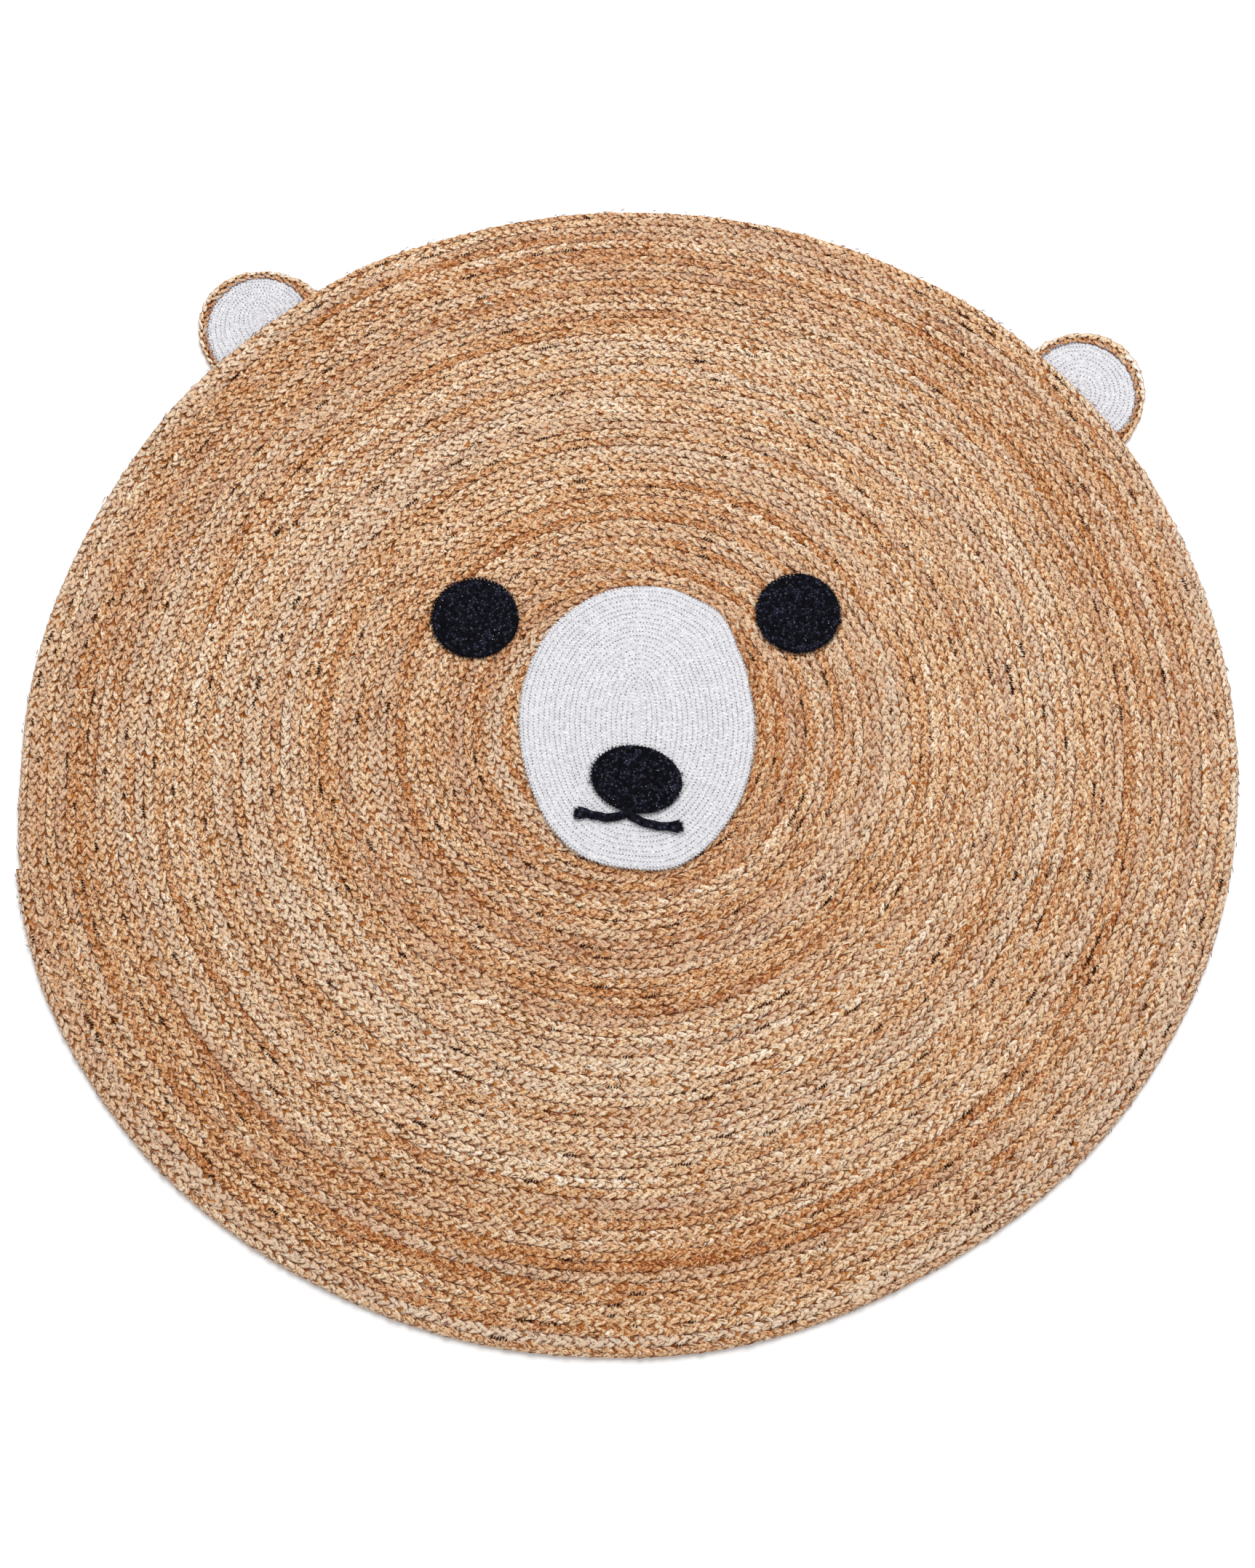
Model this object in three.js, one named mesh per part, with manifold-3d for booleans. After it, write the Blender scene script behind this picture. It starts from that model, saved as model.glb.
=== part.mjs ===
// Round jute rug with a bear's face, 1.2 m across, lying flat on the floor.
// One jute braid is wound into a flat spiral and sewn edge to edge. Cotton coils are sewn on as muzzle,
// eyes and nose, two short cords make the mouth, and two ears are tucked under the rim.
// Millimetres. +X is the face's right as seen from above, +Y points to the ears, z = 0 is the floor.
import * as THREE from 'three';
import { mergeVertices } from 'three/addons/utils/BufferGeometryUtils.js';
import Module from 'manifold-3d';

// Sizes of the jute field
const fieldRadius = 600;
const fieldThick = 9;
const braidTurns = 64; // rows from the heart to the rim, each 9.4 mm wide
const hiddenTurns = 10; // rows that the muzzle covers, left plain
const braidGroove = 1.6; // depth of the seam between two rows
const tailAngle = 193.8; // degrees, where the braid's tail is sewn down
const tailLength = 130;
const tailTip = 0.35; // the braid's width at the tip of its tail, as a share of a row

// Steps in one turn, by how many turns out it lies. The outermost put each ear midway between two steps.
const fieldSteps = [
  { below: 24, steps: 24 },
  { below: 42, steps: 36 },
  { below: braidTurns, steps: 54 },
];

// How far the rim stands out of a true circle, by the angle in degrees round the rug
const fieldEdge = [
  { at: 0, out: -0.8 },
  { at: 20, out: 2.8 },
  { at: 42, out: 4.9 },
  { at: 62, out: 7.5 },
  { at: 90, out: 5.1 },
  { at: 112, out: 4.1 },
  { at: 134, out: -2.7 },
  { at: 158, out: -4.2 },
  { at: 182, out: -1.4 },
  { at: 196, out: 7 },
  { at: 222, out: 6 },
  { at: 250, out: 0.6 },
  { at: 274, out: -3.1 },
  { at: 298, out: -9.7 },
  { at: 322, out: -4.7 },
  { at: 345, out: -1.6 },
];

// Sizes of the cotton coils
const cottonRow = 4.9; // width of one round
const cottonGroove = 0.7;
const cottonThick = 5;
const noseThick = 4.2;
const cottonTip = 0.15; // a coil's last round thins out evenly to this share of its width

// How far the muzzle stands out of a true oval, by the angle in degrees
const muzzleEdge = [
  { at: 12, out: -2.4 },
  { at: 30, out: 0.7 },
  { at: 48, out: 8 },
  { at: 66, out: 2.5 },
  { at: 88, out: -1.6 },
  { at: 118, out: -1 },
  { at: 140, out: 1.4 },
  { at: 162, out: 1.7 },
  { at: 200, out: -0.6 },
  { at: 238, out: 3.2 },
  { at: 266, out: -0.8 },
  { at: 288, out: 4.2 },
  { at: 325, out: 0.4 },
  { at: 350, out: -1.5 },
];

// Coils sewn on top, each with its middle, its half sizes, the tilt of its long side in degrees,
// what it lies on, the steps in one round and the way it is wound: 1 is anticlockwise
const coils = [
  { name: 'muzzle', x: 10.8, y: 3.8, long: 150.5, wide: 116.6, tilt: 90, on: 'field', steps: 26, spin: 1 },
  { name: 'eye_left', x: -152, y: 118.6, long: 44, wide: 43.7, tilt: 0, on: 'field', steps: 20, spin: 1 },
  { name: 'eye_right', x: 171, y: 123.2, long: 43.6, wide: 42.6, tilt: 90, on: 'field', steps: 20, spin: 1 },
  { name: 'nose', x: 9, y: -55.8, long: 45, wide: 35.1, tilt: -13.5, on: 'muzzle', steps: 20, spin: -1 },
];

// Each ear has its own frame: the origin is on the rim, +X points out of the rug.
// coil is the white oval, rim the outer edge of the braid round it,
// and heart is how far the coil's start is off centre.
const ears = [
  {
    name: 'ear_left',
    at: 130.5,
    heart: 16,
    coil: { x: -2.5, y: -2.1, long: 64.6, wide: 57.6, tilt: -26.8 },
    rim: { x: -16.6, y: -5.3, long: 87.4, wide: 71.3, tilt: 0.1 },
  },
  {
    name: 'ear_right',
    at: 38.4,
    heart: 0,
    coil: { x: 9, y: 2.3, long: 61, wide: 56.2, tilt: 48.6 },
    rim: { x: -3.5, y: 0.3, long: 84.7, wide: 68.9, tilt: 19.1 },
  },
];
const earTuck = 25; // how deep an ear reaches under the rim
const earSteps = 24; // steps in one round of its coil
const earBraidThick = 6.5;
const earSeam = 0.8; // room between an ear's coil, which is not quite even, and its braid

// The mouth: two short cords, each from the nose's lower edge to a frayed end
const cordWide = 8.2;
const cordHigh = 5.2;
const cordFlare = 1.4; // how much wider the frayed end is
const cordRoot = 0.55; // how much thinner the end at the nose is
const mouthCords = [
  {
    name: 'mouth_left',
    path: [[-5, -93.3], [-11, -94.4], [-18.7, -95], [-25.8, -94], [-32, -92.7], [-39, -90.8], [-47.2, -90.8]],
  },
  {
    name: 'mouth_right',
    path: [[2.4, -94.4], [12.5, -98.4], [20.7, -101.4], [27.2, -103], [37, -104.2], [50.4, -104.3]],
  },
];

const seam = 0.3; // clearance between two pieces that lie on or against each other

// Heights, worked up from the floor
const onField = fieldThick + seam;
const onMuzzle = onField + cottonThick + seam;
const earClearance = earBraidThick + seam;

// The rug's field is lifted where it lies over an ear
const liftFlat = 10.3; // degrees to each side of the ear that are lifted fully
const liftFade = 12.4; // degrees over which the rug comes down again
const liftFrom = 500; // radius where the rug starts to rise
const liftFull = 565; // radius from which it is fully up

const fullTurn = 2 * Math.PI;
const toRadians = THREE.MathUtils.degToRad;

// A table of { at, out } rows read at an angle in degrees, eased from row to row right round the circle
function aroundTable(table, degrees) {
  const angle = THREE.MathUtils.euclideanModulo(degrees, 360);
  const last = table[table.length - 1];
  let before = { at: last.at - 360, out: last.out };
  for (const row of [...table, { at: table[0].at + 360, out: table[0].out }]) {
    if (angle <= row.at) {
      const share = THREE.MathUtils.smoothstep(angle, before.at, row.at);
      return THREE.MathUtils.lerp(before.out, row.out, share);
    }
    before = row;
  }
  return last.out;
}

// A point of an oval that grows evenly from its heart, a straight line as long as the two half sizes differ.
// share is 0 at the heart and 1 at the edge. The long side lies along X.
function ovalPoint(oval, share, angle) {
  const core = oval.long - oval.wide;
  const uneven = oval.edge ? aroundTable(oval.edge, THREE.MathUtils.radToDeg(angle) + oval.tilt) : 0;
  const grown = oval.wide * share + uneven * share * share;
  const heart = (oval.heart ?? 0) * (1 - share);
  return new THREE.Vector2((core + grown) * Math.cos(angle) + heart, grown * Math.sin(angle));
}

function geometryFrom(points, faces) {
  const geometry = new THREE.BufferGeometry();
  const numbers = points.flatMap((point) => point.toArray());
  geometry.setAttribute('position', new THREE.Float32BufferAttribute(numbers, 3));
  geometry.setIndex(faces);
  geometry.computeVertexNormals();
  return geometry;
}

// A flat mat on z = 0, made of one long strand wound into a spiral.
// Each row is a crown between two valleys.
// Positions along the strand are counted in turns, and so is the distance from the heart.
// The strand thins out over its tail, down to a share of its width at the tip.
function spiralMat(mat) {
  const { oval, turns, plainTurns, stepsInTurn, startAngle, spin } = mat;
  const { thick, groove, tail, tip, lift, rings } = mat;
  const points = [];
  const faces = [];
  const slant = 0.4 / stepsInTurn(turns - 1); // the tail is cut at a slant
  const rimHeight = 0.45 * thick; // where the rim bulges furthest
  const baseInset = 0.2; // how far the underside's edge lies in, as a share of a row
  const heartShift = 0.3; // how far the middle point is off the line on which the first row starts

  const meanEdge = turns - 0.5 - ((1 - tip) * tail) / 2;

  const addPoint = (distance, wound, height) => {
    const spot = ovalPoint(oval, distance / meanEdge, startAngle + spin * wound * fullTurn);
    points.push(new THREE.Vector3(spot.x, spot.y, height + (lift ? lift(spot) : 0)));
    return points.length - 1;
  };
  const addFace = (a, b, c) => (spin > 0 ? faces.push(a, b, c) : faces.push(a, c, b));

  // Fills the strip between two lines of points, each with its own number of steps
  const addStrip = (first, firstAt, second, secondAt) => {
    let i = 0;
    let j = 0;
    while (i < first.length - 1 || j < second.length - 1) {
      const firstNext = firstAt[i + 1] ?? Infinity;
      const secondNext = secondAt[j + 1] ?? Infinity;
      if (secondNext <= firstNext) {
        addFace(first[i], second[j], second[j + 1]);
        j += 1;
      } else {
        addFace(first[i], second[j], first[i + 1]);
        i += 1;
      }
    }
  };

  const stops = [];
  for (let turn = plainTurns; turn < turns; turn += 1) {
    const steps = stepsInTurn(turn);
    for (let step = 0; step < steps; step += 1) stops.push(turn + step / steps);
  }
  stops.push(turns);
  const lastRow = turns - 1;
  const rowWidth = (wound) => Math.min(1, tip + ((1 - tip) * (turns - wound)) / tail);
  const woundOut = (wound) => wound - 1 + rowWidth(wound);

  // Valleys, the last turn of which is the rim, and crowns half a row further out
  const valley = stops.map((wound) => {
    const drawnBack = wound === turns ? slant : 0;
    return addPoint(woundOut(wound), wound - drawnBack, wound < lastRow ? thick - groove : rimHeight);
  });
  const crownStops = stops.filter((wound) => wound <= lastRow);
  const crown = crownStops.map((wound) => {
    const drawnBack = wound === lastRow ? slant / 2 : 0;
    return addPoint(wound + rowWidth(wound + 1) / 2, wound - drawnBack, thick);
  });
  const secondTurn = stops.indexOf(plainTurns + 1);
  const rimStart = stops.indexOf(lastRow);
  const outerStops = stops.slice(secondTurn).map((wound) => wound - 1);
  addStrip(valley.slice(0, rimStart + 1), crownStops, crown, crownStops);
  addStrip(crown, crownStops, valley.slice(secondTurn), outerStops);

  // The plain heart, fanned from its middle point
  const heartSpot = ovalPoint(oval, (heartShift * plainTurns) / turns, startAngle - (spin * fullTurn) / 4);
  points.push(new THREE.Vector3(heartSpot.x, heartSpot.y, thick - groove / 2));
  const heart = points.length - 1;
  for (let i = 0; i < secondTurn; i += 1) addFace(heart, valley[i], valley[i + 1]);
  addFace(heart, valley[secondTurn], crown[0]);
  addFace(heart, crown[0], valley[0]);

  // The rim's side and the cut end of the tail
  const rim = valley.slice(rimStart);
  const rimStops = stops.slice(rimStart);
  const base = rimStops.map((wound) => {
    const drawnBack = wound === turns ? slant : 0;
    return addPoint(woundOut(wound) - baseInset, wound - drawnBack, 0);
  });
  addStrip(rim, rimStops, base, rimStops);
  const rimEnd = rim[rim.length - 1];
  const baseEnd = base[base.length - 1];
  addFace(rim[0], crown[crown.length - 1], rimEnd);
  addFace(rim[0], rimEnd, baseEnd);
  addFace(rim[0], baseEnd, base[0]);

  // The underside, ring by ring to its middle
  let loop = [...base, base[0]];
  let loopAt = [...rimStops.slice(0, -1), turns - slant, turns];
  for (const distance of rings ?? []) {
    const ring = rimStops.slice(0, -1).map((wound) => addPoint(distance, wound, 0));
    addStrip(loop, loopAt, [...ring, ring[0]], rimStops);
    loop = [...ring, ring[0]];
    loopAt = rimStops;
  }
  points.push(new THREE.Vector3(0, 0, 0));
  const middle = points.length - 1;
  for (let i = 0; i < loop.length - 1; i += 1) addFace(middle, loop[i + 1], loop[i]);
  return geometryFrom(points, faces);
}

// The jute field rises over each ear, so that the ear's braid fits under its rim
function liftOverEars(spot) {
  const radius = THREE.MathUtils.smoothstep(spot.length(), liftFrom, liftFull);
  const angle = THREE.MathUtils.radToDeg(spot.angle());
  const rises = ears.map((ear) => {
    const off = Math.abs(THREE.MathUtils.euclideanModulo(angle - ear.at + 180, 360) - 180);
    return 1 - THREE.MathUtils.smoothstep(off, liftFlat, liftFlat + liftFade);
  });
  return earClearance * radius * Math.max(...rises);
}

function juteField() {
  const rimTurn = braidTurns - 0.5;
  return spiralMat({
    oval: { long: fieldRadius, wide: fieldRadius, tilt: 0, edge: fieldEdge },
    turns: braidTurns,
    plainTurns: hiddenTurns,
    stepsInTurn: (turn) => fieldSteps.find((zone) => turn < zone.below).steps,
    startAngle: toRadians(tailAngle),
    spin: -1,
    thick: fieldThick,
    groove: braidGroove,
    tail: tailLength / (fullTurn * fieldRadius),
    tip: tailTip,
    lift: liftOverEars,
    rings: [liftFull, liftFrom].map((radius) => (radius / fieldRadius) * rimTurn),
  });
}

// A cotton coil on the floor of its own frame, its long side along X
function cottonCoil(oval, thick) {
  return spiralMat({
    oval,
    turns: Math.round(oval.wide / cottonRow + 0.5),
    plainTurns: 1,
    stepsInTurn: () => oval.steps,
    startAngle: 0,
    spin: oval.spin,
    thick,
    groove: cottonGroove,
    tail: 1,
    tip: cottonTip,
  });
}

const wasm = await Module();
wasm.setup();

function toSolid(geometry) {
  const bare = geometry.clone();
  bare.deleteAttribute('normal');
  bare.deleteAttribute('uv');
  const merged = mergeVertices(bare);
  const { Manifold, Mesh } = wasm;
  const vertProperties = new Float32Array(merged.attributes.position.array);
  const triVerts = new Uint32Array(merged.index.array);
  return new Manifold(new Mesh({ numProp: 3, vertProperties, triVerts }));
}

function fromSolid(solid) {
  const mesh = solid.getMesh();
  const geometry = new THREE.BufferGeometry();
  geometry.setAttribute('position', new THREE.BufferAttribute(mesh.vertProperties, 3));
  geometry.setIndex(new THREE.BufferAttribute(mesh.triVerts, 1));
  geometry.computeVertexNormals();
  return geometry;
}

// An ear's coil, laid in the ear's frame and cut off square where it ends under the rim
function earCoil({ coil, heart }) {
  const geometry = cottonCoil({ ...coil, heart, steps: earSteps, spin: 1 }, cottonThick);
  geometry.rotateZ(toRadians(coil.tilt));
  geometry.translate(coil.x, coil.y, 0);
  const depth = 2 * coil.long;
  const behind = new THREE.BoxGeometry(depth, 2 * depth, depth);
  behind.translate(-earTuck - depth / 2, 0, 0);
  return fromSolid(toSolid(geometry).subtract(toSolid(behind)));
}

// The distance from a point to the edge of an oval in a given direction
function reach(oval, from, angle) {
  const turn = -toRadians(oval.tilt);
  const start = new THREE.Vector2(from.x - oval.x, from.y - oval.y).rotateAround(new THREE.Vector2(), turn);
  const way = new THREE.Vector2(Math.cos(angle + turn), Math.sin(angle + turn));
  const scale = new THREE.Vector2(oval.long, oval.wide);
  start.divide(scale);
  way.divide(scale);
  const half = start.dot(way) / way.lengthSq();
  const rest = (1 - start.lengthSq()) / way.lengthSq();
  return Math.sqrt(half * half + rest) - half;
}

// A closed body through rings of points of the same number, one after another, capped at both ends
function loft(rings) {
  const side = rings[0].length;
  const end = (rings.length - 1) * side;
  const faces = [];
  for (let start = 0; start < end; start += side) {
    for (let i = 0; i < side; i += 1) {
      const here = start + i;
      const next = start + ((i + 1) % side);
      faces.push(here, next, next + side, here, next + side, here + side);
    }
  }
  for (let i = 1; i < side - 1; i += 1) faces.push(0, i + 1, i, end, end + i, end + i + 1);
  return geometryFrom(rings.flat(), faces);
}

// The braid round an ear: a rounded band from the coil's edge to the ear's outline,
// open where it is tucked under the rug
function earBraid({ coil, rim }) {
  const steps = 36;
  const openFrom = toRadians(118); // each leg ends at this angle from the ear's tip
  // share is the way across from the coil to the outline, height a share of the braid's thickness
  const profile = [
    { share: 0, height: 0 },
    { share: 0, height: 0.7 },
    { share: 0.28, height: 1 },
    { share: 0.5, height: 0.9 },
    { share: 0.74, height: 1 },
    { share: 1, height: 0.5 },
    { share: 0.94, height: 0 },
  ];
  const rings = [];
  for (let step = 0; step <= steps; step += 1) {
    const angle = THREE.MathUtils.lerp(-openFrom, openFrom, step / steps);
    const inside = reach(coil, coil, angle) + earSeam;
    const outside = reach(rim, coil, angle);
    const ring = profile.map(({ share, height }) => {
      const out = THREE.MathUtils.lerp(inside, outside, share);
      const x = coil.x + out * Math.cos(angle);
      const y = coil.y + out * Math.sin(angle);
      return new THREE.Vector3(x, y, height * earBraidThick);
    });
    rings.push(ring);
  }
  return loft(rings);
}

// A short cord laid along a path, narrow where it is tucked in and spread at its frayed end
function shortCord(path) {
  const sides = 10;
  const steps = 18;
  const rootEnds = 0.2; // shares of the cord's length
  const frayStarts = 0.8;
  const curve = new THREE.CatmullRomCurve3(path.map(([x, y]) => new THREE.Vector3(x, y, 0)));
  const rings = [];
  for (let step = 0; step <= steps; step += 1) {
    const along = step / steps;
    const spot = curve.getPointAt(along);
    const ahead = curve.getTangentAt(along);
    const root = THREE.MathUtils.lerp(cordRoot, 1, THREE.MathUtils.smoothstep(along, 0, rootEnds));
    const spread = THREE.MathUtils.lerp(1, cordFlare, THREE.MathUtils.smoothstep(along, frayStarts, 1));
    const ring = [];
    for (let side = 0; side < sides; side += 1) {
      const angle = (side / sides) * fullTurn;
      const across = (cordWide / 2) * root * spread * Math.cos(angle);
      const height = (cordHigh / 2) * root * (1 + Math.sin(angle));
      ring.push(new THREE.Vector3(spot.x - ahead.y * across, spot.y + ahead.x * across, height));
    }
    rings.push(ring);
  }
  return loft(rings);
}

const finishes = {
  jute: { color: 0xc4945f, roughness: 0.9, metalness: 0 },
  whiteCotton: { color: 0xe4e2e2, roughness: 0.95, metalness: 0 },
  darkCotton: { color: 0x15161d, roughness: 0.95, metalness: 0 },
};

function piece(name, geometry, finish) {
  const mesh = new THREE.Mesh(geometry, new THREE.MeshStandardMaterial(finishes[finish]));
  mesh.name = name;
  return mesh;
}

// A coil at its place on what it is sewn to
function sewnCoil(coil) {
  const isMuzzle = coil.name === 'muzzle';
  const oval = isMuzzle ? { ...coil, edge: muzzleEdge } : coil;
  const thick = coil.on === 'muzzle' ? noseThick : cottonThick;
  const mesh = piece(coil.name, cottonCoil(oval, thick), isMuzzle ? 'whiteCotton' : 'darkCotton');
  mesh.position.set(coil.x, coil.y, coil.on === 'muzzle' ? onMuzzle : onField);
  mesh.rotation.z = toRadians(coil.tilt);
  return mesh;
}

function mouthCord({ name, path }) {
  const mesh = piece(name, shortCord(path), 'darkCotton');
  mesh.position.z = onMuzzle;
  return mesh;
}

function wholeEar(ear) {
  const group = new THREE.Group();
  const angle = toRadians(ear.at);
  group.position.set(fieldRadius * Math.cos(angle), fieldRadius * Math.sin(angle), 0);
  group.rotation.z = angle;
  group.add(piece(`${ear.name}_coil`, earCoil(ear), 'whiteCotton'));
  group.add(piece(`${ear.name}_braid`, earBraid(ear), 'jute'));
  return group;
}

const rug = new THREE.Group();
rug.add(piece('rug_field', juteField(), 'jute'));
rug.add(...coils.map(sewnCoil));
rug.add(...mouthCords.map(mouthCord));
rug.add(...ears.map(wholeEar));

// The origin is under the middle of the rug's own box
rug.updateMatrixWorld(true);
const middle = new THREE.Box3().setFromObject(rug, true).getCenter(new THREE.Vector3());
rug.position.set(-middle.x, -middle.y, 0);

export default rug;
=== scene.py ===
import bpy
import math
import numpy as np
from functools import partial
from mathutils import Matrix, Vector


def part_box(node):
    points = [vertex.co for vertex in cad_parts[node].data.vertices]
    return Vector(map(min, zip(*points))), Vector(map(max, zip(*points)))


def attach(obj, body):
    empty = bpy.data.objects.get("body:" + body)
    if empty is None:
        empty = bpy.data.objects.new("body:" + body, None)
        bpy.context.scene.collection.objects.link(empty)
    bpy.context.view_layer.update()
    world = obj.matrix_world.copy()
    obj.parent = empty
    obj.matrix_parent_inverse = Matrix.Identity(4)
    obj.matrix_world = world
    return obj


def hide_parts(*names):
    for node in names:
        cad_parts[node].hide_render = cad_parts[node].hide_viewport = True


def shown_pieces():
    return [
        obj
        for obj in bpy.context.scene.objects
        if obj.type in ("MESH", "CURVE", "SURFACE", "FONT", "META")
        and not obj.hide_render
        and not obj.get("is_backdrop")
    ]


# Round jute rug with a bear's face, lying flat. Sizes are in millimetres and become metres in each mesh.
# +X is the face's right as seen from above, +Y points to the ears, z = 0 is the floor.

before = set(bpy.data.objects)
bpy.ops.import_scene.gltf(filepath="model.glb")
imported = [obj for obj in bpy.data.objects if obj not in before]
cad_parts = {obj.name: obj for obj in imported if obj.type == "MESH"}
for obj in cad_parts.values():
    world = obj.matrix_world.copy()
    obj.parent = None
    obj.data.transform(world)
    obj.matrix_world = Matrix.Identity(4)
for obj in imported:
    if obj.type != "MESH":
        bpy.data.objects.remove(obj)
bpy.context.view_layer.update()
mm = 0.001
fullTurn = 2 * math.pi
dice = np.random.default_rng(23)  # one seed, so that every run gives the same rug
heart = np.zeros(2)  # the middle of the rug's spiral in the row frame, found once the field is described


# Small tools

def smoothstep(value, low, high):
    share = np.clip((value - low) / (high - low), 0, 1)
    return share * share * (3 - 2 * share)


def rotated(x, y, degrees):
    turn = math.radians(degrees)
    return x * math.cos(turn) - y * math.sin(turn), x * math.sin(turn) + y * math.cos(turn)


def unit(vectors):
    return vectors / np.linalg.norm(vectors, axis=1, keepdims=True)


# adds a third coordinate, which may be one for all
def withZ(flat, z):
    return np.column_stack([flat, np.broadcast_to(z, len(flat))])


# the length run so far at each point of a flat line
def runAlong(points):
    legs = np.diff(points, axis=0)
    return np.concatenate([[0], np.cumsum(np.hypot(legs[:, 0], legs[:, 1]))])


# reads a table of (degrees, value) rows right round the circle, eased from row to row
def aroundTable(table, degrees):
    at, out = np.array(table, float).T
    at = np.concatenate([[at[-1] - 360], at, [at[0] + 360]])
    out = np.concatenate([[out[-1]], out, [out[0]]])
    angle = np.mod(degrees, 360)
    after = np.clip(np.searchsorted(at, angle), 1, len(at) - 1)
    share = smoothstep(angle, at[after - 1], at[after])
    return out[after - 1] + (out[after] - out[after - 1]) * share


# a value that wanders between -1 and 1 along a length, with a new aim at every step
def wander(length, step):
    aims = dice.uniform(-1, 1, int(length.max() / step) + 3)
    place = np.maximum(length, 0) / step
    index = place.astype(int)
    share = smoothstep(place - index, 0, 1)
    return aims[index] * (1 - share) + aims[index + 1] * share


# numbers drawn for many marks: around a mean, or evenly between two limits
def around(mean, spread):
    return lambda count: dice.normal(mean, spread, count)


def between(low, high, power=1):
    return lambda count: dice.uniform(low, high, count) ** power


def toLinear(hexColour):
    parts = [int(hexColour[i:i + 2], 16) / 255 for i in (1, 3, 5)]
    return [c / 12.92 if c <= 0.04045 else ((c + 0.055) / 1.055) ** 2.4 for c in parts] + [1.0]


# Adds a node and returns its outputs. A setting is an attribute, an input a value or another node's output,
# a stop a colour ramp's (place, colour).
def addNode(material, kind, inputs=None, settings=None, stops=()):
    tree = material.node_tree
    node = tree.nodes.new("ShaderNode" + kind)
    for name, value in (settings or {}).items():
        setattr(node, name, value)
    for name, value in (inputs or {}).items():
        if isinstance(value, bpy.types.NodeSocket):
            tree.links.new(value, node.inputs[name])
        else:
            node.inputs[name].default_value = value
    for number, (place, colour) in enumerate(stops):
        ramp = node.color_ramp.elements
        element = ramp[number] if number < 2 else ramp.new(place)
        element.position = place
        element.color = toLinear(colour)
    return node.outputs


def calculate(material, operation, *terms):
    return addNode(material, "Math", dict(enumerate(terms)), {"operation": operation})["Value"]


def newMaterial(name):
    material = bpy.data.materials.new(name)
    material.use_nodes = True
    material.node_tree.nodes.clear()
    return material


# the last nodes of every material; a relief is its height, strength and depth in millimetres
def endMaterial(material, colour, roughness, gloss, relief=None):
    inputs = {"Base Color": colour, "Roughness": roughness, "Specular IOR Level": gloss}
    if relief:
        height, strength, depth = relief
        bump = {"Height": height, "Strength": strength, "Distance": depth * mm}
        inputs["Normal"] = addNode(material, "Bump", bump)["Normal"]
    shader = addNode(material, "BsdfPrincipled", inputs)
    addNode(material, "OutputMaterial", {"Surface": shader["BSDF"]})
    return material


def addObject(name, data):
    added = bpy.data.objects.new(name, data)
    bpy.context.scene.collection.objects.link(added)
    return added


# a mesh at the origin, from points in millimetres and triangles that face outwards
def makePiece(name, points, faces, material, tones=None, corners=None, slots=None, smooth=True):
    def fill(rows, key, values, kind=np.float32):
        rows.foreach_set(key, values.astype(kind).ravel())

    mesh = bpy.data.meshes.new(name)
    mesh.vertices.add(len(points))
    fill(mesh.vertices, "co", points * mm)
    mesh.loops.add(faces.size)
    fill(mesh.loops, "vertex_index", faces, np.int32)
    mesh.polygons.add(len(faces))
    fill(mesh.polygons, "loop_start", np.arange(0, faces.size, 3), np.int32)
    fill(mesh.polygons, "use_smooth", np.full(len(faces), smooth), bool)
    if slots is not None:
        fill(mesh.polygons, "material_index", slots, np.int32)
    if tones is not None:
        fill(mesh.attributes.new("tone", "FLOAT_COLOR", "POINT").data, "color", tones)
    if corners is not None:
        fill(mesh.uv_layers.new(name="grain").data, "uv", corners)
    mesh.update(calc_edges=True)
    mesh.validate()
    for each in material if isinstance(material, list) else [material]:
        mesh.materials.append(each)
    return addObject(name, mesh)


def sewOn(pieces):
    for piece in pieces:
        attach(piece, "root")


# Studio: pale floor, one large soft light from behind the ears, the photograph's camera

studio = {
    "lookAt": (-0.00215, -0.05583, 0.0), "distance": 2.09, "elevation": 69.8, "lens": 49.1,
    "floorColour": "#fbfbfb", "floorSize": 12.0, "skyColour": "#ffffff", "skyStrength": 0.72,
    "keyFrom": (0.25, 0.95, 2.65), "keySize": 1.6, "keyWatts": 52.0,
}


def setStudio():
    scene = bpy.context.scene
    scene.view_settings.view_transform = "Standard"
    target, up = Vector(studio["lookAt"]), math.radians(studio["elevation"])
    camera = addObject("camera", bpy.data.cameras.new("camera"))
    camera.location = target + Vector((0, -math.cos(up), math.sin(up))) * studio["distance"]
    camera.data.lens = studio["lens"]
    scene.camera = camera

    key = addObject("key_light", bpy.data.lights.new("key_light", "AREA"))
    key.location = Vector(studio["keyFrom"])
    key.data.size = studio["keySize"]
    key.data.energy = studio["keyWatts"]
    for each in (camera, key):
        each.rotation_euler = (target - each.location).to_track_quat("-Z", "Y").to_euler()

    world = bpy.data.worlds.new("studio")
    world.use_nodes = True
    sky = world.node_tree.nodes["Background"].inputs
    sky["Color"].default_value = toLinear(studio["skyColour"])
    sky["Strength"].default_value = studio["skyStrength"]
    scene.world = world

    bpy.ops.object.select_all(action="DESELECT")
    bpy.ops.mesh.primitive_plane_add(size=studio["floorSize"], location=(0, 0, 0))
    floor = bpy.context.object
    floor.name = "floor"
    floor.data.materials.append(endMaterial(
        newMaterial("pale matt floor"), toLinear(studio["floorColour"]), 0.9, 0.1))
    floor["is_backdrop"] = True


setStudio()
print("studio set")


# The spiral: one strand wound round an oval in rows of even width.
# Places along it are counted in turns, and so is the distance from the heart.

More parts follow.
